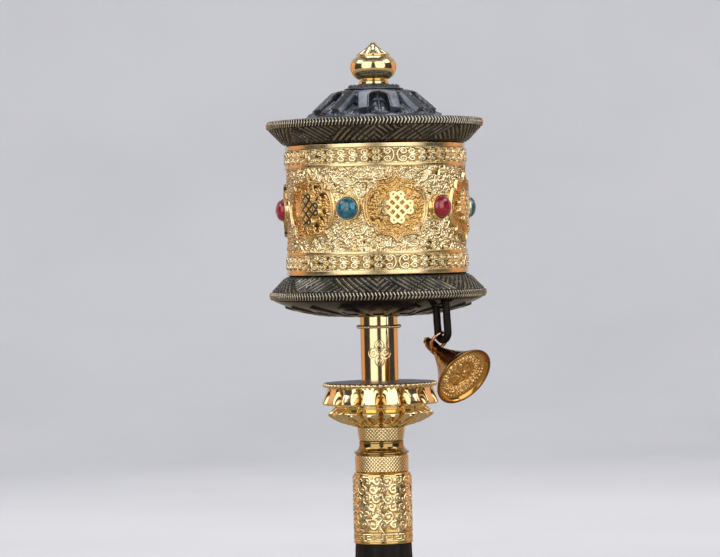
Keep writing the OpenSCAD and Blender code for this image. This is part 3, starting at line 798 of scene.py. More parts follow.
def sleeve():
    low, high = heights_of("knurled_sleeve")
    outline = [[7, low], [7.9, low], [8.05, low + 0.3], [8.75, high - 0.7], [9.0, high - 0.5], [9.0, high],
               [7, high]]
    piece = Piece()
    # through top, the knurl's cuts get painted shade and its diamonds a painted highlight
    piece.turned(spaced(rounded(outline, 0.1), 0.14), 448, knurl(38, low, high - 0.7), top=0.12, start=FRONT)
    piece.made("sleeve_knurled", "handle", gold_polished, "gilt_brass", "knurled_sleeve")


PETALS = 15


def lotus():
    """Two rows of petals. Each meridian blends a petal's middle with the valley between two petals."""
    low, high = heights_of("lotus_collar")
    rim = high - 0.9
    crest = above(low, [[9.2, 0], [9.8, 0.3], [12.2, 0.9], [15.2, 1.9], [18, 3.4], [19.3, 4.35], [19.6, 4.75],
                        [19.2, 5.3], [18.2, 6.1], [17.2, 6.9], [17.4, 7.3], [19.2, 7.6], [21.2, 7.9],
                        [21.7, 8.4], [21.6, 9.2], [21.0, 10.8], [20.4, 12.3], [19.9, 13.4],
                        [19.6, rim - low]])
    valley = above(low, [[9.2, 0], [9.6, 0.5], [11.2, 1.3], [13.2, 2.4], [15.0, 3.6], [15.8, 4.5],
                         [16.2, 5.2], [16.5, 5.8], [16.6, 6.4], [16.6, 6.9], [16.8, 7.3], [17.4, 7.7],
                         [18.0, 8.2], [18.3, 8.8], [18.5, 9.5], [18.7, 10.8], [18.9, 12.2], [19.2, 13.3],
                         [19.6, rim - low]])
    count, steps = PETALS * 36, 165
    t = np.linspace(0, len(crest) - 1, steps)
    keys = np.arange(len(crest))
    crest, valley = np.array(crest), np.array(valley)
    crest = np.stack([np.interp(t, keys, crest[:, k]) for k in (0, 1)], 1)
    valley = np.stack([np.interp(t, keys, valley[:, k]) for k in (0, 1)], 1)
    for _ in range(3):
        for line in (crest, valley):
            line[1:-1] = (line[:-2] + 2 * line[1:-1] + line[2:]) / 4
    angles = FRONT + TAU * np.arange(count) / count
    phase = ((angles - FRONT) / TAU * PETALS) % 1
    off = np.abs(phase - 0.5) * 2            # 0 at a petal's middle, 1 in the valley
    up = (np.arange(steps) / (steps - 1))[:, None]
    # the flat face's share of a petal, half of it: wide at the lip and narrow at the top
    face = 0.64 - 0.34 * ease((up - 0.55) / 0.4)
    body = ease((1 - off) / (1 - face)) ** 0.8
    points = crest[:, None, :] * body[..., None] + valley[:, None, :] * (1 - body[..., None])
    # an arch on each lower petal: a raised hood with a hollow below it, and a small bud in the hollow
    height = np.clip(up / 0.29, 0, 3)
    across = off / 0.72
    arch = np.hypot(across, height * 0.92)
    hood = np.exp(-((arch - 0.92) / 0.10) ** 2) * (up < 0.36)
    hollow = ease((0.82 - arch) / 0.1) * ease((up - 0.03) / 0.02)
    bud = np.clip(1 - np.hypot(across / 0.42, (height - 0.42) / 0.3) ** 2, 0, 1)
    raised = 0.6 * hood - 1.9 * hollow + 1.7 * bud
    points[..., 0] += 0.45 * raised
    points[..., 1] -= 0.9 * raised
    # the upper petals: a shallow dished face
    dish = np.clip(1 - (off / 0.5) ** 2, 0, 1) * ease((up - 0.66) / 0.05) * ease((0.97 - up) / 0.1)
    points[..., 0] -= 0.35 * dish
    # tones paint shade into the valleys between petals and the hollows under the hoods, and a highlight on
    # the hoods
    tones = np.clip(0.1 + 0.9 * body - hollow * (0.95 - 0.55 * bud) + 0.6 * hood, 0, 1)
    shape = np.stack([points[..., 0] * np.cos(angles), points[..., 0] * np.sin(angles), points[..., 1]], -1)
    piece = Piece()
    piece.grid(shape, tones, wraps=True)
    piece.turned([[19.6, rim], [19.6, high - 0.05], [19.2, high], [7.1, high]], 192)
    piece.made("lotus_petals", "handle", gold_polished, "gilt_brass", "lotus_collar")


def bead_ring(name, node, count, size):
    """A ring of beads on a thin wire."""
    low, high = heights_of(node)
    r, z = radius_of(node) - min(size), (low + high) / 2
    piece = Piece()
    piece.balls([on_drum(FRONT + TAU * k / count, r, z) for k in range(count)], size, around=14, up=10)
    piece.turned(arc([r, z], size[1] * 0.4, -180, 180, 12), 120)
    piece.made(name, "handle", gold_polished, "gilt_brass", node)


def leather_disc():
    low, high = heights_of("lotus_leather_disc")
    r = radius_of("lotus_leather_disc")
    tube = radius_of("shaft_tube")
    piece = Piece()
    piece.turned(spaced(rounded([[r - 0.5, low], [r, low + 0.1], [r - 0.1, high - 0.15], [r - 0.5, high],
                                 [tube, high]], 0.1), 0.5), 200,
                 lambda a, s, rr, z: 0.03 * np.sin(7 * a + rr) + 0.02 * np.sin(17 * a - 2 * rr))
    piece.made("leather_disc", "handle", maroon_leather, "maroon_leather", "lotus_leather_disc")


def shaft_tube():
    """The polished tube, with an engraved four-petal flower on the viewer's side."""
    top = heights_of("shaft_tube")[1]
    foot = heights_of("lotus_leather_disc")[0]
    r = radius_of("shaft_tube")
    middle = foot + 11.6
    relief = Relief(TAU * r, 12, 0.08)
    centre = relief.width / 2
    for k in range(4):
        a = k * math.pi / 2
        reach = 2.4 + (0.5 if k % 2 else 0)
        x, y = centre + reach * math.cos(a), 6 + reach * math.sin(a)
        ring = curl(x, y, 1.75, 1, a, 1, inner=1.0)
        relief.stroke(ring, 0.16, -0.09)
        relief.stroke(curl(x, y, 1.0, 1.2, a, 1, inner=0.3), 0.14, -0.07)
        b = a + math.pi / 4
        relief.stroke([[centre + 1.2 * math.cos(b), 6 + 1.2 * math.sin(b)],
                       [centre + 3.5 * math.cos(b), 6 + 3.5 * math.sin(b)]], 0.2, -0.12, ends=(1, 0.3))
    relief.dot(centre, 6, 0.6, -0.14)
    back = FRONT - math.pi

    def lift(a, s, rr, z):
        inside = (z > middle - 6) & (z < middle + 6)
        return np.where(inside, relief.at((a - back) * r, z - middle + 6), 0)

    outline = np.array([[r, foot], [r, middle - 6], [r, middle + 6], [r, top - 0.3], [r - 0.3, top],
                        [r - 1, top]])
    outline = spaced(outline, 0.8, lambda rr, z: abs(z - middle) < 6, 0.13)
    piece = Piece()
    piece.turned(outline, 400, lift, start=back)
    piece.made("tube_polished", "handle", gold_polished, "gilt_brass", "shaft_tube", sharp=40)


def finial():
    """A neck ring, a bulb, and a pointed cap with leaf flutes."""
    low, high = heights_of("finial")
    outline = [*above(low, [[3, 0], [5.3, 0], [5.6, 0.25], [5.6, 1.1], [5.1, 1.4], [5.0, 1.7],
                            *arc([3.8, 6.5], 4.9, -74, 48, 26), [6.5, 10.5], [6.0, 10.7], [6.3, 11.0],
                            [6.2, 11.4], [4.9, 12.2], [3.6, 13.0], [2.4, 13.9], [1.5, 14.8], [0.9, 15.6]]),
               [0.5, high - 0.1], [0, high]]
    leaf = 10

    def lift(a, s, r, z):
        flute = np.abs(np.sin(a * leaf / 2)) ** 0.6
        top = ease((z - low - 11.2) / 0.3) * ease((high - 1.2 - z) / 1.2)
        return -0.5 * (1 - flute) * top * np.clip(r / 4, 0, 1)

    piece = Piece()
    piece.turned(spaced(rounded(outline, 0.12), 0.2), 240, lift, start=FRONT)
    piece.made("finial_gilt", "handle", gold_polished, "gilt_brass", "finial", sharp=60)


end_cap()
grip()
ferrule()
collar()
sleeve()
lotus()
bead_ring("lotus_beads", "lotus_bead_ring", 60, (0.82, 0.85, 0.85))
bead_ring("shaft_beads", "shaft_bead_ring", 36, (0.6, 0.65, 0.65))
leather_disc()
shaft_tube()
finial()

# ---- drum ----

DRUM_R = 32.7
DRUM_LOW, DRUM_HIGH = heights_of("drum_shell")
LOW_BAND = heights_of("lower_scroll_band")
HIGH_BAND = heights_of("upper_scroll_band")
MIDDLE = (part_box("turquoise_stone_1")[0][2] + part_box("turquoise_stone_1")[1][2]) / 2 / MM
ROUND = TAU * DRUM_R
MEDALLION_TURN = 12.3      # degrees from the viewer's side to the first medallion
STONE_TURN = MEDALLION_TURN - 30


def ground():
    """The chased ground between the bands, in two halves."""
    low, high = LOW_BAND[1] + 1.2, HIGH_BAND[0] - 1.2
    relief = Relief(ROUND, high - low, 0.08)
    vine(relief, 0.1, high - low - 0.1, 2.5, 0.32, 0.66, 1.6, 1.6, 0.8)
    short_strokes(relief, 9000, 0.3, 0.55)
    z = np.linspace(low - 0.1, high + 0.1, 150)[:, None]
    columns = 512
    for half, start in (("front", FRONT - math.pi / 2), ("back", FRONT + math.pi / 2)):
        a = start + np.linspace(0, math.pi, columns + 1)[None, :]
        lift = relief.at((a - FRONT) * DRUM_R, z - low)
        swell = 0.22 * np.sin(24 * a + 1.7 * np.sin(z / 3.1)) * np.sin(z / 2.6 + 2 * np.sin(9 * a))
        r = DRUM_R - 0.15 + lift + swell
        piece = Piece()
        # painted shade on the low ground between the chased strokes, a painted highlight on their tops
        tones = 0.26 + 0.74 * np.clip(lift / 0.4, 0, 1)
        piece.grid(np.stack([r * np.cos(a), r * np.sin(a), z + 0 * a], -1), tones)
        piece.made(f"drum_ground_{half}", "drum", gold_bright, "gilt_brass", "drum_shell")


def rims():
    """The plain rims above and below each band, and the wall inside."""
    lip = DRUM_R + 0.9
    piece = Piece()
    for low, high, out in ((DRUM_LOW, LOW_BAND[0], lip), (LOW_BAND[1], LOW_BAND[1] + 1.2, lip),
                           (HIGH_BAND[0] - 1.2, HIGH_BAND[0], lip), (HIGH_BAND[1], DRUM_HIGH, lip - 0.4)):
        outline = [[DRUM_R - 0.6, low], [out, low], [out, high], [DRUM_R - 0.6, high]]
        piece.turned(spaced(rounded(outline, 0.25), 0.5), 320)
    piece.turned([[31.5, DRUM_HIGH], [31.5, DRUM_LOW]], 160)
    piece.made("drum_rims", "drum", gold_satin, "gilt_brass", "drum_shell")


def scroll_band(name, node):
    """Raised wire scrolls between two thin edges: a pair of big C scrolls over each medallion, and six
    columns of two spirals between one pair and the next."""
    low, high = heights_of(node)
    tall = high - low
    relief = Relief(ROUND, tall, 0.08)
    groups = 24
    pitch = relief.width / groups
    mid = tall / 2
    wire, top = 0.38, 0.95

    def spiral(x, y, turns, start, hand, stretch):
        line = curl(0, 0, 1.12, turns, start, hand, 0.2)
        relief.stroke(np.stack([x + stretch * line[:, 0], y + line[:, 1]], 1), wire, top, (1, 0.8), 1.4)

    for k in range(groups):
        x = math.radians(MEDALLION_TURN) * DRUM_R + k * pitch
        for side in (-1, 1):
            if k % 4 == 0:
                turn = np.linspace(math.pi / 2, -math.pi / 2, 15)
                bow = np.stack([x + side * (2.6 - 1.95 * np.cos(turn)), mid + 2.4 * np.sin(turn)], 1)
                relief.stroke(bow, wire, top, flat=1.4)
                for half in (-1, 1):
                    spiral(x + side * 2.75, mid + half * 1.3, 1.3, half * math.pi / 2, -side * half, 1.3)
            else:
                for half in (-1, 1):
                    cx, cy = x + side * 2.1 - 0.2, mid + half * 1.25
                    spiral(cx, cy, 1.4, -half * math.pi / 3, -half, 1.4)
                    tail = [[cx + 1.0, cy - half * 0.9], [cx + 1.6, mid + half * 0.45],
                            [cx + 2.3, mid + half * 0.9]]
                    relief.stroke(tail, wire * 0.9, top, (1, 0.4), 1.4)
            for y in (0.5, tall - 0.5):
                dash = x + (side - 1) * pitch / 4
                relief.stroke([[dash - 0.7, y], [dash + 0.7, y]], 0.26, 0.8, (0.6, 0.6), 1.4)
        relief.dot(x, mid, 0.36, 0.8)
    for y in (0.12, tall - 0.12):
        relief.stroke([[u, y] for u in np.linspace(0, relief.width, 400)], 0.2, 0.7)
    piece = Piece()
    # painted shade on the ground between the wires and a painted highlight on the wire tops
    piece.turned(spaced(np.array([[DRUM_R, low], [DRUM_R, high]]), 0.135), 1440,
                 lambda a, s, rr, z: relief.at((a - FRONT) * DRUM_R, z - low) + 0.2, start=FRONT,
                 tone=lambda lifts, s: 0.1 + 0.9 * np.clip((lifts - 0.3) / 0.45, 0, 1))
    piece.made(name, "drum", gold_bright, "gilt_brass", node)


def medallion_edge(angle):
    """The medallion's outline: a circle whose top and bottom are brackets with a point."""
    tilt = np.degrees(np.arccos(np.clip(np.abs(np.sin(angle)), 0, 1)))
    return np.interp(tilt, [0, 3, 8, 14, 27, 35, 41, 46, 50, 56, 90],
                     [12.9, 12.1, 11.1, 10.7, 11.2, 12.1, 12.0, 11.0, 11.0, 12.0, 12.0])


def knot(relief, cx, cy, wire, top):
    """A plain endless knot: two loops each way, woven on the slant."""
    for way in (0, 1):
        for side in (-1, 1):
            turn = np.linspace(0, TAU, 41)
            u = side * 2.35 + 1.25 * np.sign(np.cos(turn)) * np.abs(np.cos(turn)) ** 0.6
            v = 5.0 * np.sign(np.sin(turn)) * np.abs(np.sin(turn)) ** 0.6
            if way:
                u, v = v, u
            points = np.stack([cx + (u - v) * math.sqrt(0.5), cy + (u + v) * math.sqrt(0.5)], 1)
            relief.stroke(points, wire, top, flat=2.0)


def medallion(number):
    """Double-rimmed and lobed, with a granulated ground and a knot in the middle."""
    node = f"medallion_{number}"
    angle = FRONT + math.radians(MEDALLION_TURN + 60 * (number - 1))
    half = 14
    relief = Relief(2 * half, 2 * half, 0.09, wraps=False)
    grains = np.random.default_rng(40 + number)
    for x, y in grains.uniform(-11.5, 11.5, (420, 2)):
        grain = curl(half + x, half + y, grains.uniform(0.35, 0.6), 0.7, grains.uniform(0, TAU), 1, 0.8)
        relief.stroke(grain, 0.2, grains.uniform(0.22, 0.36))
    turn = np.linspace(0, TAU, 361)
    edge = medallion_edge(turn)
    for shrink, wire, top in ((0.38, 0.4, 0.85), (1.3, 0.3, 0.7)):
        relief.stroke(ring_of(half, half, edge - shrink, turn), wire, top)
    knot(relief, half, half, 0.66, 1.3)
    rows, columns = 74, 288
    turn = TAU * np.arange(columns) / columns
    edge = medallion_edge(turn)
    t = np.linspace(0, 1, rows)[:, None]
    x, y = t * edge * np.cos(turn), t * edge * np.sin(turn)
    lift = relief.at(half + x, half + y)
    out = DRUM_R + 0.8 + lift
    out = np.where(t > 0.985, DRUM_R + 0.9, out)
    rim = np.full((1, columns), DRUM_R - 0.3)
    x, y, out = np.vstack([x, x[-1:]]), np.vstack([y, y[-1:]]), np.vstack([out, rim])
    around = angle + x / DRUM_R
    shape = np.stack([out * np.cos(around), out * np.sin(around), MIDDLE + y], -1)
    piece = Piece()
    # painted shade on the low ground and the rim's return, a painted highlight on the raised knot, rims and
    # grains
    tones = np.clip(0.3 + 0.8 * np.vstack([lift, np.zeros((1, columns))]), 0, 1)
    piece.grid(shape, tones, wraps=True)
    piece.made(f"medallion_chased_{number}", "drum", gold_deep, "gilt_brass", node)


def setting(number):
    """A round cup with a rolled lip."""
    angle = FRONT + math.radians(STONE_TURN + 60 * (number - 1))
    place = on_drum(angle, DRUM_R, MIDDLE)
    cup = [[4.9, -0.4], [4.85, 0.7], [4.5, 1.1], [4.42, 2.0], [4.5, 2.45], [4.3, 2.7], [4.05, 2.55],
           [3.98, 2.0], [3.9, 0.6]]
    piece = Piece()
    piece.turned(spaced(rounded(cup, 0.15), 0.25), 96, place=place)
    piece.made(f"setting_{number}", "drum", gold_polished, "gilt_brass", f"stone_setting_{number}")


def stone(number, node, material, slot):
    angle = FRONT + math.radians(STONE_TURN + 60 * (number - 1))
    place = on_drum(angle, DRUM_R + 0.8, MIDDLE)
    t = np.linspace(0, 1, 22)
    dome = np.stack([3.98 * np.cos(t * math.pi / 2) ** 0.85, 1.6 + 2.75 * np.sin(t * math.pi / 2)], 1)
    piece = Piece()
    piece.turned(np.vstack([[[3.98, 0.2]], dome[:-1], [[0, 4.35]]]), 72,
                 lambda a, s, r, z: 0.02 * np.sin(3 * a + z), place=place)
    piece.made(f"stone_{number}", "drum", material, slot, node)


def brim(name, node, upward):
    """A cone of slanted ribs in triangles, and a notched rim. The lower brim is the upper one turned over."""
    low, high = heights_of(node)
    rim_r = radius_of(node)
    sign = 1 if upward else -1
    start = low if upward else high
    cone_h = high - low - 3
    cone = [[DRUM_R - 0.3, start], [33.4, start + sign * 0.5], [rim_r - 1.2, start + sign * cone_h]]
    edge = start + sign * cone_h
    inner = [[rim_r - 3.0, 3.0], [12, 3.0]] if upward else [[38.75, 2.6], [38.75, 1.2]]
    rim = [[rim_r - 0.8, 0.4], [rim_r - 0.6, 1.2], [rim_r - 0.9, 2.1], [rim_r - 1.3, 2.7]] + inner
    outline = cone + [[r, edge + sign * rise] for r, rise in rim]
    teeth = 188
    periods = 11
    slant = math.hypot(rim_r - 1.2 - 33.4, cone_h - 0.5)
    first = math.hypot(DRUM_R - 33.7, 0.5)

    def lift(a, s, r, z):
        up = s - first
        x = (a - FRONT) / TAU * periods
        across = (a - FRONT) * 36.0
        zig = wave(x) * slant
        upper = up > zig
        triangle = np.where(upper, np.floor(x + 0.5), np.floor(x))
        way = np.where(triangle % 2 < 1, 1, -1) * np.where(upper, 1, -1)
        ribs = np.clip(wave((across * 0.72 + way * up * 0.70) / 1.8) * 2 - 0.5, 0, 1)
        seam = np.clip(np.abs(up - zig) / 0.55, 0, 1)
        on_cone = ease(up / 0.25) * ease((slant - up) / 0.2)
        dots = 0.3 * np.exp(-((up - 0.35) / 0.28) ** 2) * wave(x * 14) ** 2
        ribbed = 0.5 * ribs * seam * ease((up - 0.9) / 0.2) * on_cone + dots * on_cone
        on_rim = ease((np.abs(z - edge) - 0.15) / 0.2) * (np.sign(z - edge) == sign)
        on_rim = on_rim * ease((r - rim_r + 1.5) / 0.5)
        rise = np.abs(z - edge - sign * 1.5)
        tooth = np.clip(wave((a / TAU) * teeth + rise * 0.42) * 1.5 - 0.25, 0, 1)
        return ribbed + np.where(s > first + slant, 0.62 * tooth * on_rim, 0)

    spread = spaced(rounded(outline, 0.18), 3.0, lambda r, z: r > 31 and (z - edge) * sign < 2.99, 0.26)
    spread = spread[::sign]
    whole = np.linalg.norm(np.diff(spread, axis=0), axis=1).sum()

    def from_drum(s):
        """The length along the outline from its end at the drum."""
        return s if upward else whole - s

    def wear(lifts, s):
        on_teeth = from_drum(s) > first + slant
        return np.where(on_teeth, np.clip(lifts / 0.6, 0, 1), 0.3 + 0.95 * lifts)

    piece = Piece()
    piece.turned(spread, teeth * 7, lambda a, s, r, z: lift(a, from_drum(s), r, z), start=FRONT, tone=wear)
    if not upward:
        piece.turned([[8.9, high - 0.1], [DRUM_R - 0.3, high - 0.05]], 160)
    piece.made(name, "drum", dark_cast, "blackened_metal", node)


def base_plate():
    """The shallow dome underneath, with two rings of petals and a slot for the thong."""
    low = heights_of("base_plate")[0]
    rise, plate_r = 5.7, 38.6
    r = np.linspace(7.6, plate_r, 130)
    outline = np.stack([r, low + rise * (r / plate_r) ** 3.5], 1)

    def lift(a, s, rr, z):
        total = np.zeros(np.broadcast(a, rr).shape)
        for inner, outer, count, turn in ((10.5, 20.5, 16, 0.0), (20.5, 34.5, 16, 0.5)):
            t = np.clip((rr - inner) / (outer - inner), 0, 1)
            x = ((a - FRONT) / TAU * count + turn) % 1 * 2 - 1
            width = 0.96 * np.sqrt(np.clip(1 - t ** 2.4, 0, 1)) * ease(t / 0.12 + 0.4)
            inside = ease((width - np.abs(x)) / 0.12)
            dome = 1 - 0.75 * (np.abs(x) / (width + 0.05)) ** 2
            hollow = ease((0.55 * width - np.abs(x)) / 0.15) * ease((t - 0.2) / 0.1) * ease((0.75 - t) / 0.1)
            petal = 0.8 * inside * np.clip(dome, 0, 1) - 0.45 * hollow
            total = np.maximum(total, np.where((t > 0) & (t < 1), petal, 0))
        ring = 0.5 * np.exp(-((rr - 9.3) / 0.5) ** 2)
        return total + ring

    piece = Piece()
    upper = outline[::-1][::15] + [0, 1.3]
    closed = np.vstack([outline, [outline[-1] + [0, 1.3]], upper[1:], [outline[0] + [0, 1.3]], outline[:1]])
    piece.turned(closed, 512,
                 lambda a, s, rr, z: lift(a, s, rr, z) * (z - low - rise * (rr / plate_r) ** 3.5 < 0.2),
                 top=0.8, start=FRONT)
    plate = piece.made("base_plate_cast", "drum", plate_cast, "blackened_metal", "base_plate")
    cutter = Piece()
    slot_in, slot_half = 4.7, 2.0
    corners = ((-slot_in, -slot_half), (slot_in, -slot_half), (slot_in, slot_half), (-slot_in, slot_half))
    block = np.array([[u, v, w] for w in (-14, 8) for u, v in corners], float)
    faces = [[3, 2, 1, 0], [4, 5, 6, 7], [0, 1, 5, 4], [1, 2, 6, 5], [2, 3, 7, 6], [3, 0, 4, 7]]
    cutter.add(block, faces, place=placed(bar_at, OUTWARD, ACROSS, UP))
    carve(plate, cutter)


def carve(target, cutter):
    """Cuts a shape out of a piece for good."""
    tool = cutter.made("cutter", "drum", dark_cast, "blackened_metal")
    modifier = target.modifiers.new("cut", "BOOLEAN")
    modifier.object = tool
    modifier.solver = "EXACT"
    bpy.context.view_layer.update()
    graph = bpy.context.evaluated_depsgraph_get()
    mesh = bpy.data.meshes.new_from_object(target.evaluated_get(graph), preserve_all_data_layers=True,
                                           depsgraph=graph)
    target.modifiers.clear()
    old = target.data
    target.data = mesh
    bpy.data.meshes.remove(old)
    used = tool.data
    bpy.data.objects.remove(tool)
    bpy.data.meshes.remove(used)


def dome():
    """The stepped lotus dome on the lid: six arched plates round it, with pointed leaves among them."""
    low, high = heights_of("dome")
    turned_by = math.radians(5)
    piece = Piece()
    outline = [*above(low, [[26.2, 0], [26.2, 0.5], [25.4, 0.9], [24, 1.1], [20.5, 2.0], [15.6, 4.4],
                            [12.2, 7.0], [11.0, 9.4], [10.8, 10.4], [10.6, 10.7], [11.0, 11.0], [11.0, 11.5],
                            [9.4, 11.8]]), [9.0, high], [4.8, high], [4.8, high - 2]]

    def ripple(a, s, r, z):
        leaf = wave((a - FRONT - turned_by) / TAU * 18)
        crown = wave(a / TAU * 24)
        leaves = 0.6 * leaf * ease((r - 17) / 3) * ease((26 - r) / 1.5)
        return leaves + 0.35 * crown * ease((9.8 - r) / 0.3) * (r > 8.7)

    piece.turned(spaced(rounded(outline, 0.25), 0.5), 384, ripple, top=0.8, start=FRONT)

    def arch(x, y):
        """A block with an arched opening that widens to its foot."""
        wide = 3.3 + 0.1 * np.clip(1 - y, 0, 9)
        reach = np.hypot(x / wide, np.clip(y - 1.4, 0, 9) / 2.7)
        opening = ease((1 - reach) / 0.08)
        edge = 0.3 * ease((1.2 - reach) / 0.05) * ease((reach - 1) / 0.05)
        return -3.6 * opening + edge - 0.012 * x ** 2

    def leaf(x, y):
        """A ridged leaf with two lobes at its foot."""
        lobe = 0.5 * np.exp(-(((np.abs(x) - 1.7) / 0.7) ** 2 + ((y + 1.6) / 1.5) ** 2))
        return 0.6 * np.exp(-(x / 0.5) ** 2) - 0.7 * (np.abs(x) / 3) ** 1.5 + lobe

    def petal(angle, r, z, slope, bottom, top, length, thick, relief, columns, rows, point=0.0):
        """A chunky plate that leans back by slope degrees: a tapered sheet with a relief, its edges turned
        down to a skirt. point narrows its upper end to a tip over that length."""
        lean = math.radians(slope)
        face = on_drum(angle, r, low + z)
        along, out = face[:3, 0], face[:3, 2]
        place = placed(face[:3, 3], along, -math.cos(lean) * out + math.sin(lean) * UP,
                       math.sin(lean) * out + math.cos(lean) * UP)
        u = np.linspace(-1, 1, columns)[None, :]
        v = np.linspace(0, 1, rows)[:, None]
        half = (bottom + (top - bottom) * v) / 2
        if point:
            half = half * np.sqrt(np.clip((1 - v) * length / point, 0.004, 1))
        x, y = u * half, (v - 0.5) * length + 0 * u
        edge = np.minimum((1 - np.abs(u)) * half, np.minimum(v, 1 - v) * length)
        lift = thick + relief(x, y) - 0.3 * (1 - ease(edge / 0.35))
        for side in ((0, slice(None)), (-1, slice(None)), (slice(None), 0), (slice(None), -1)):
            lift[side] = -2.4
        piece.grid(np.stack([x, y, lift], -1), np.clip(0.35 + 0.2 * lift, 0, 1), place=place)

    for k in range(6):
        a = FRONT + turned_by + TAU * k / 6
        petal(a, 17.5, 6.1, 40, 16.2, 14.6, 10.2, 1.5, arch, 100, 60)
        petal(a, 19.6, 3.6, 34, 7.0, 7.0, 7.4, 1.0, leaf, 36, 34, 4.2)
        petal(a + TAU / 12, 20.6, 2.6, 24, 9.0, 9.0, 8.4, 0.6, leaf, 40, 34, 4.6)
        for off in (-1, 1):
            petal(a + off * 0.34, 22.6, 1.5, 16, 4.6, 4.6, 5.0, 0.4, leaf, 24, 24, 2.6)
        piece.balls([on_drum(a, 13.2, low + 9.6)], (6.9, 1.15, 1.25), around=24, up=28, tone=0.5)
    piece.made("dome_cast", "drum", painted_sky_cast, "blackened_metal", "dome")


ground()
rims()
scroll_band("lower_band_scrolls", "lower_scroll_band")
scroll_band("upper_band_scrolls", "upper_scroll_band")
for number in range(1, 7):
    medallion(number)
    setting(number)
for number in range(1, 4):
    stone(2 * number - 1, f"turquoise_stone_{number}", turquoise, "turquoise")
    stone(2 * number, f"coral_stone_{number}", coral, "coral")
brim("upper_brim_cast", "upper_brim", True)
brim("lower_brim_cast", "lower_brim", False)
base_plate()
dome()

# ---- weight ----

TILT = math.radians(56)
BELL_OUT = math.sin(TILT) * OUTWARD - math.cos(TILT) * UP        # towards the mouth
BELL_SIDE = math.cos(TILT) * OUTWARD + math.sin(TILT) * UP       # up and outward, across the bell
bell_place = placed(neck_at, BELL_SIDE, np.cross(BELL_OUT, BELL_SIDE), BELL_OUT)
MOUTH_R = 11.7
MOUTH = 18


def jump_ring():
    r, wire = 3.6, 0.6
    centre = neck_at + r * BELL_SIDE
    piece = Piece()
    turn = np.radians(np.linspace(-178.6, 178.6, 140))
    around = np.radians(np.linspace(-180, 180, 25))[:-1]
    x = (r + wire * np.cos(around)[None, :]) * np.cos(turn)[:, None]
    y = (r + wire * np.cos(around)[None, :]) * np.sin(turn)[:, None]
    z = wire * np.sin(around)[None, :] + 0 * turn[:, None]
    tube = np.stack([x, y, z], -1)
    ends = [np.repeat(tube[k].mean(0)[None, None], 24, axis=1) for k in (0, -1)]
    piece.grid(np.concatenate([ends[0], tube, ends[1]])[:, ::-1], wraps=True,
               place=placed(centre, *bell_place[:3, :3].T))
    piece.made("jump_ring_copper", "ring", copper, "copper", "jump_ring", sharp=50)


def bell():
    side = [[0, -6.8], [0.35, -6.75], [0.7, -6.4], [1.1, -6.0], [1.5, -5.6], [1.25, -5.2], [1.6, -4.6],
            [2.0, -3.8], [2.1, -2.4], [2.1, 1.8], [2.4, 2.5], [2.9, 3.7], [3.6, 5.2], [4.6, 7.2], [5.7, 9.2],
            [6.9, 11.1], [8.2, 13.0], [9.6, 15.0], [10.8, 16.4], [11.3, 16.8], [11.55, 17.1], [MOUTH_R, 17.4],
            [MOUTH_R, 17.75], [11.4, MOUTH], [10.9, 17.9], [10.75, 17.6], [10.4, 15.8], [8.4, 13.6],
            [6, 13.3], [0, 13.3]]

    def lift(a, s, r, z):
        grooves = 0.12 * np.exp(-((z - 5.7) / 0.3) ** 2) + 0.12 * np.exp(-((z - 6.5) / 0.3) ** 2)
        return -grooves * (r < 8) + 0.0 * a

    piece = Piece()
    piece.turned(spaced(rounded(side, 0.15), 0.3), 160, lift, place=bell_place)
    body = piece.made("bell_body", "bell", antique, "antique_brass", "bell_weight", sharp=60)
    hole = Piece()
    hole_r, reach = 1.25, 4.0
    hole.turned([[0, -reach], [hole_r, -reach], [hole_r, reach], [0, reach]], 48,
                place=placed(neck_at, BELL_SIDE, -BELL_OUT, np.cross(BELL_SIDE, -BELL_OUT)))
    carve(body, hole)


def bell_face():
    """The embossed disc in the bell's mouth."""
    relief = Relief(TAU * 8, 10.5, 0.09)
    count = 12
    unit = relief.width / count
    for k in range(count):
        for half in (-1, 1):
            spiral = curl((k + 0.5) * unit + half * 0.95, 6.7, 1.15, 1.2, math.pi / 2, -half, 0.25)
            relief.stroke(spiral, 0.38, 0.9)
        relief.dot((k + 0.5) * unit, 8.0, 0.6, 0.8)
        relief.stroke([[k * unit, 5.5], [k * unit, 7.9]], 0.5, 0.85, (0.2, 0.2))

    def lift(a, s, r, z):
        rings = 0.3 * (np.exp(-((r - 5.3) / 0.28) ** 2) + np.exp(-((r - 8.6) / 0.22) ** 2))
        beads = 0.55 * np.exp(-((r - 9.2) / 0.5) ** 2) * wave(a / TAU * 40)
        petals = 0.5 * wave(a / TAU * 8) * ease((r - 0.8) / 0.6) * ease((4.6 - r) / 0.6)
        scrolls = relief.at(a * 8, r + 0 * a) * ease((r - 5.5) / 0.3) * ease((8.5 - r) / 0.3)
        return scrolls + rings + beads + petals

    outline = [[10.75, 17.6], [10.5, 17.2], [10.1, 16.7], [9.6, 16.4], [8.4, 15.9], [5.6, 15.3], [4.8, 15.2],
               [0, 15.6]]
    piece = Piece()
    # painted shade on the low dish and a painted highlight on the raised relief
    piece.turned(spaced(rounded(outline, 0.3), 0.13), 320, lift, place=bell_place,
                 tone=lambda lifts, s: 0.4 + 0.6 * np.clip(lifts / 0.5, 0, 1))
    piece.made("bell_face_chased", "bell", gold_warm, "antique_brass", "bell_face")


jump_ring()
bell()
bell_face()

# ---- studio ----


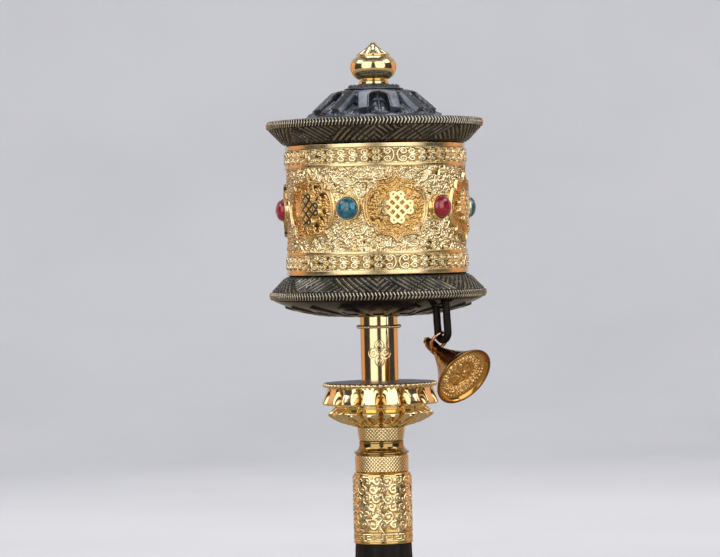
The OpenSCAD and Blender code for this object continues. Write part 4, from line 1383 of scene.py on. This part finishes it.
def backdrop():
    """A round pale floor that curves up into a wall, far enough out to stand behind every view."""
    floor_r, wall_r, wall_h, bend = 2300, 3600, 3200, 1300
    outline = [[0, 0], [floor_r, 0], *arc([floor_r, bend], bend, -90, 0, 24)[1:], [wall_r, wall_h]]
    piece = Piece()
    piece.turned(np.array(outline)[::-1], 96)
    n = Nodes("pale_floor", roughness=0.9)
    pale = n.colour(n.ramp(n.noise(300, detail=3), [(0.3, (0.62, 0.62, 0.64)), (0.7, (0.66, 0.66, 0.68))]))
    new_object("floor", piece.mesh("floor", pale))


def softbox(name, azimuth, distance, height, wide, tall, watts, colour=(1, 1, 1)):
    """A soft rectangular light that faces the drum. Azimuth 0 is the viewer's side, positive to the right."""
    data = bpy.data.lights.new(name, "AREA")
    data.shape = "RECTANGLE"
    data.size, data.size_y, data.energy, data.color = wide, tall, watts, colour
    lamp = new_object(name, data)
    a = math.radians(azimuth)
    lamp.location = (distance * math.sin(a), -distance * math.cos(a), height)
    aim = Vector((0, 0, 0.23)) - Vector(lamp.location)
    lamp.rotation_euler = aim.to_track_quat("-Z", "Y").to_euler()
    lamp.visible_camera = False


def screen(name, start, end, outline, dark, light):
    """Part of a round screen that only reflections see. It sets what metal mirrors between two azimuths."""
    angles = FRONT + np.radians(np.linspace(start, end, max(2, int((end - start) / 6))))
    points = [[r * math.cos(a) * MM, r * math.sin(a) * MM, z * MM] for r, z in outline for a in angles]
    across = len(angles)
    faces = [[row * across + k, row * across + k + 1, (row + 1) * across + k + 1, (row + 1) * across + k]
             for row in range(len(outline) - 1) for k in range(across - 1)]
    mesh = bpy.data.meshes.new(name)
    mesh.from_pydata(points, [], faces)
    cloth = new_object(name, mesh)
    n = Nodes(name + "_cloth", roughness=0.95)
    n.bumped(n.cells(1.2), 0.3, 0.4)
    mesh.materials.append(n.colour(n.ramp(n.noise(4), [(0.3, dark), (0.7, light)])))
    cloth.visible_camera = cloth.visible_diffuse = cloth.visible_shadow = False


def wall_light(name, azimuth, watts):
    """A light over the object that faces outward and down, on to the backdrop."""
    softbox(name, azimuth, 0.9, 1.5, 1.8, 1.2, watts)
    lamp = bpy.data.objects[name]
    a = math.radians(azimuth)
    lamp.rotation_euler = Vector((math.sin(a), -math.cos(a), -0.28)).to_track_quat("-Z", "Y").to_euler()


backdrop()
BLACK, BLACK_WORN = (0.02, 0.02, 0.02), (0.035, 0.035, 0.035)
GREY, GREY_LIGHT = (0.14, 0.13, 0.12), (0.2, 0.19, 0.18)
TAN, TAN_LIGHT = (0.34, 0.28, 0.2), (0.42, 0.35, 0.25)
for side, name in ((-1, "left"), (1, "right")):
    softbox(name + "_box", side * 34.5, 1.5, 0.62, 1.35, 1.75, 9.7)
    softbox(name + "_high", side * 84, 1.4, 1.35, 0.9, 0.6, 3.4)
    softbox(name + "_warm", side * 122, 1.5, 0.3, 0.95, 1.2, 1.9, (1.0, 0.36, 0.05))
    first, last = sorted((side * 63, side * 102))
    screen(name + "_flag", first, last, [[1600, 0], [1600, 1050]], BLACK, BLACK_WORN)
screen("middle_flag", -7, 7, [[1640, 0], [1640, 1700]], BLACK, BLACK_WORN)
screen("tent", -148, 148, [[1750, 0], [1750, 1500], [1500, 1950], [600, 2350]], GREY, GREY_LIGHT)
screen("mat", -180, 180, [[30, 3], [500, 4], [1500, 5]], TAN, TAN_LIGHT)
softbox("top_box", 180, 0.4, 2.0, 1.1, 0.9, 7)
for k in range(4):
    wall_light(f"wall_light_{k}", 90 * k, 34 if k == 2 else 22)
world = bpy.data.worlds.new("studio")
world.use_nodes = True
world.node_tree.nodes["Background"].inputs["Color"].default_value = (0.85, 0.9, 1, 1)
world.node_tree.nodes["Background"].inputs["Strength"].default_value = 0.22
scene.world = world
scene.view_settings.view_transform = "Standard"
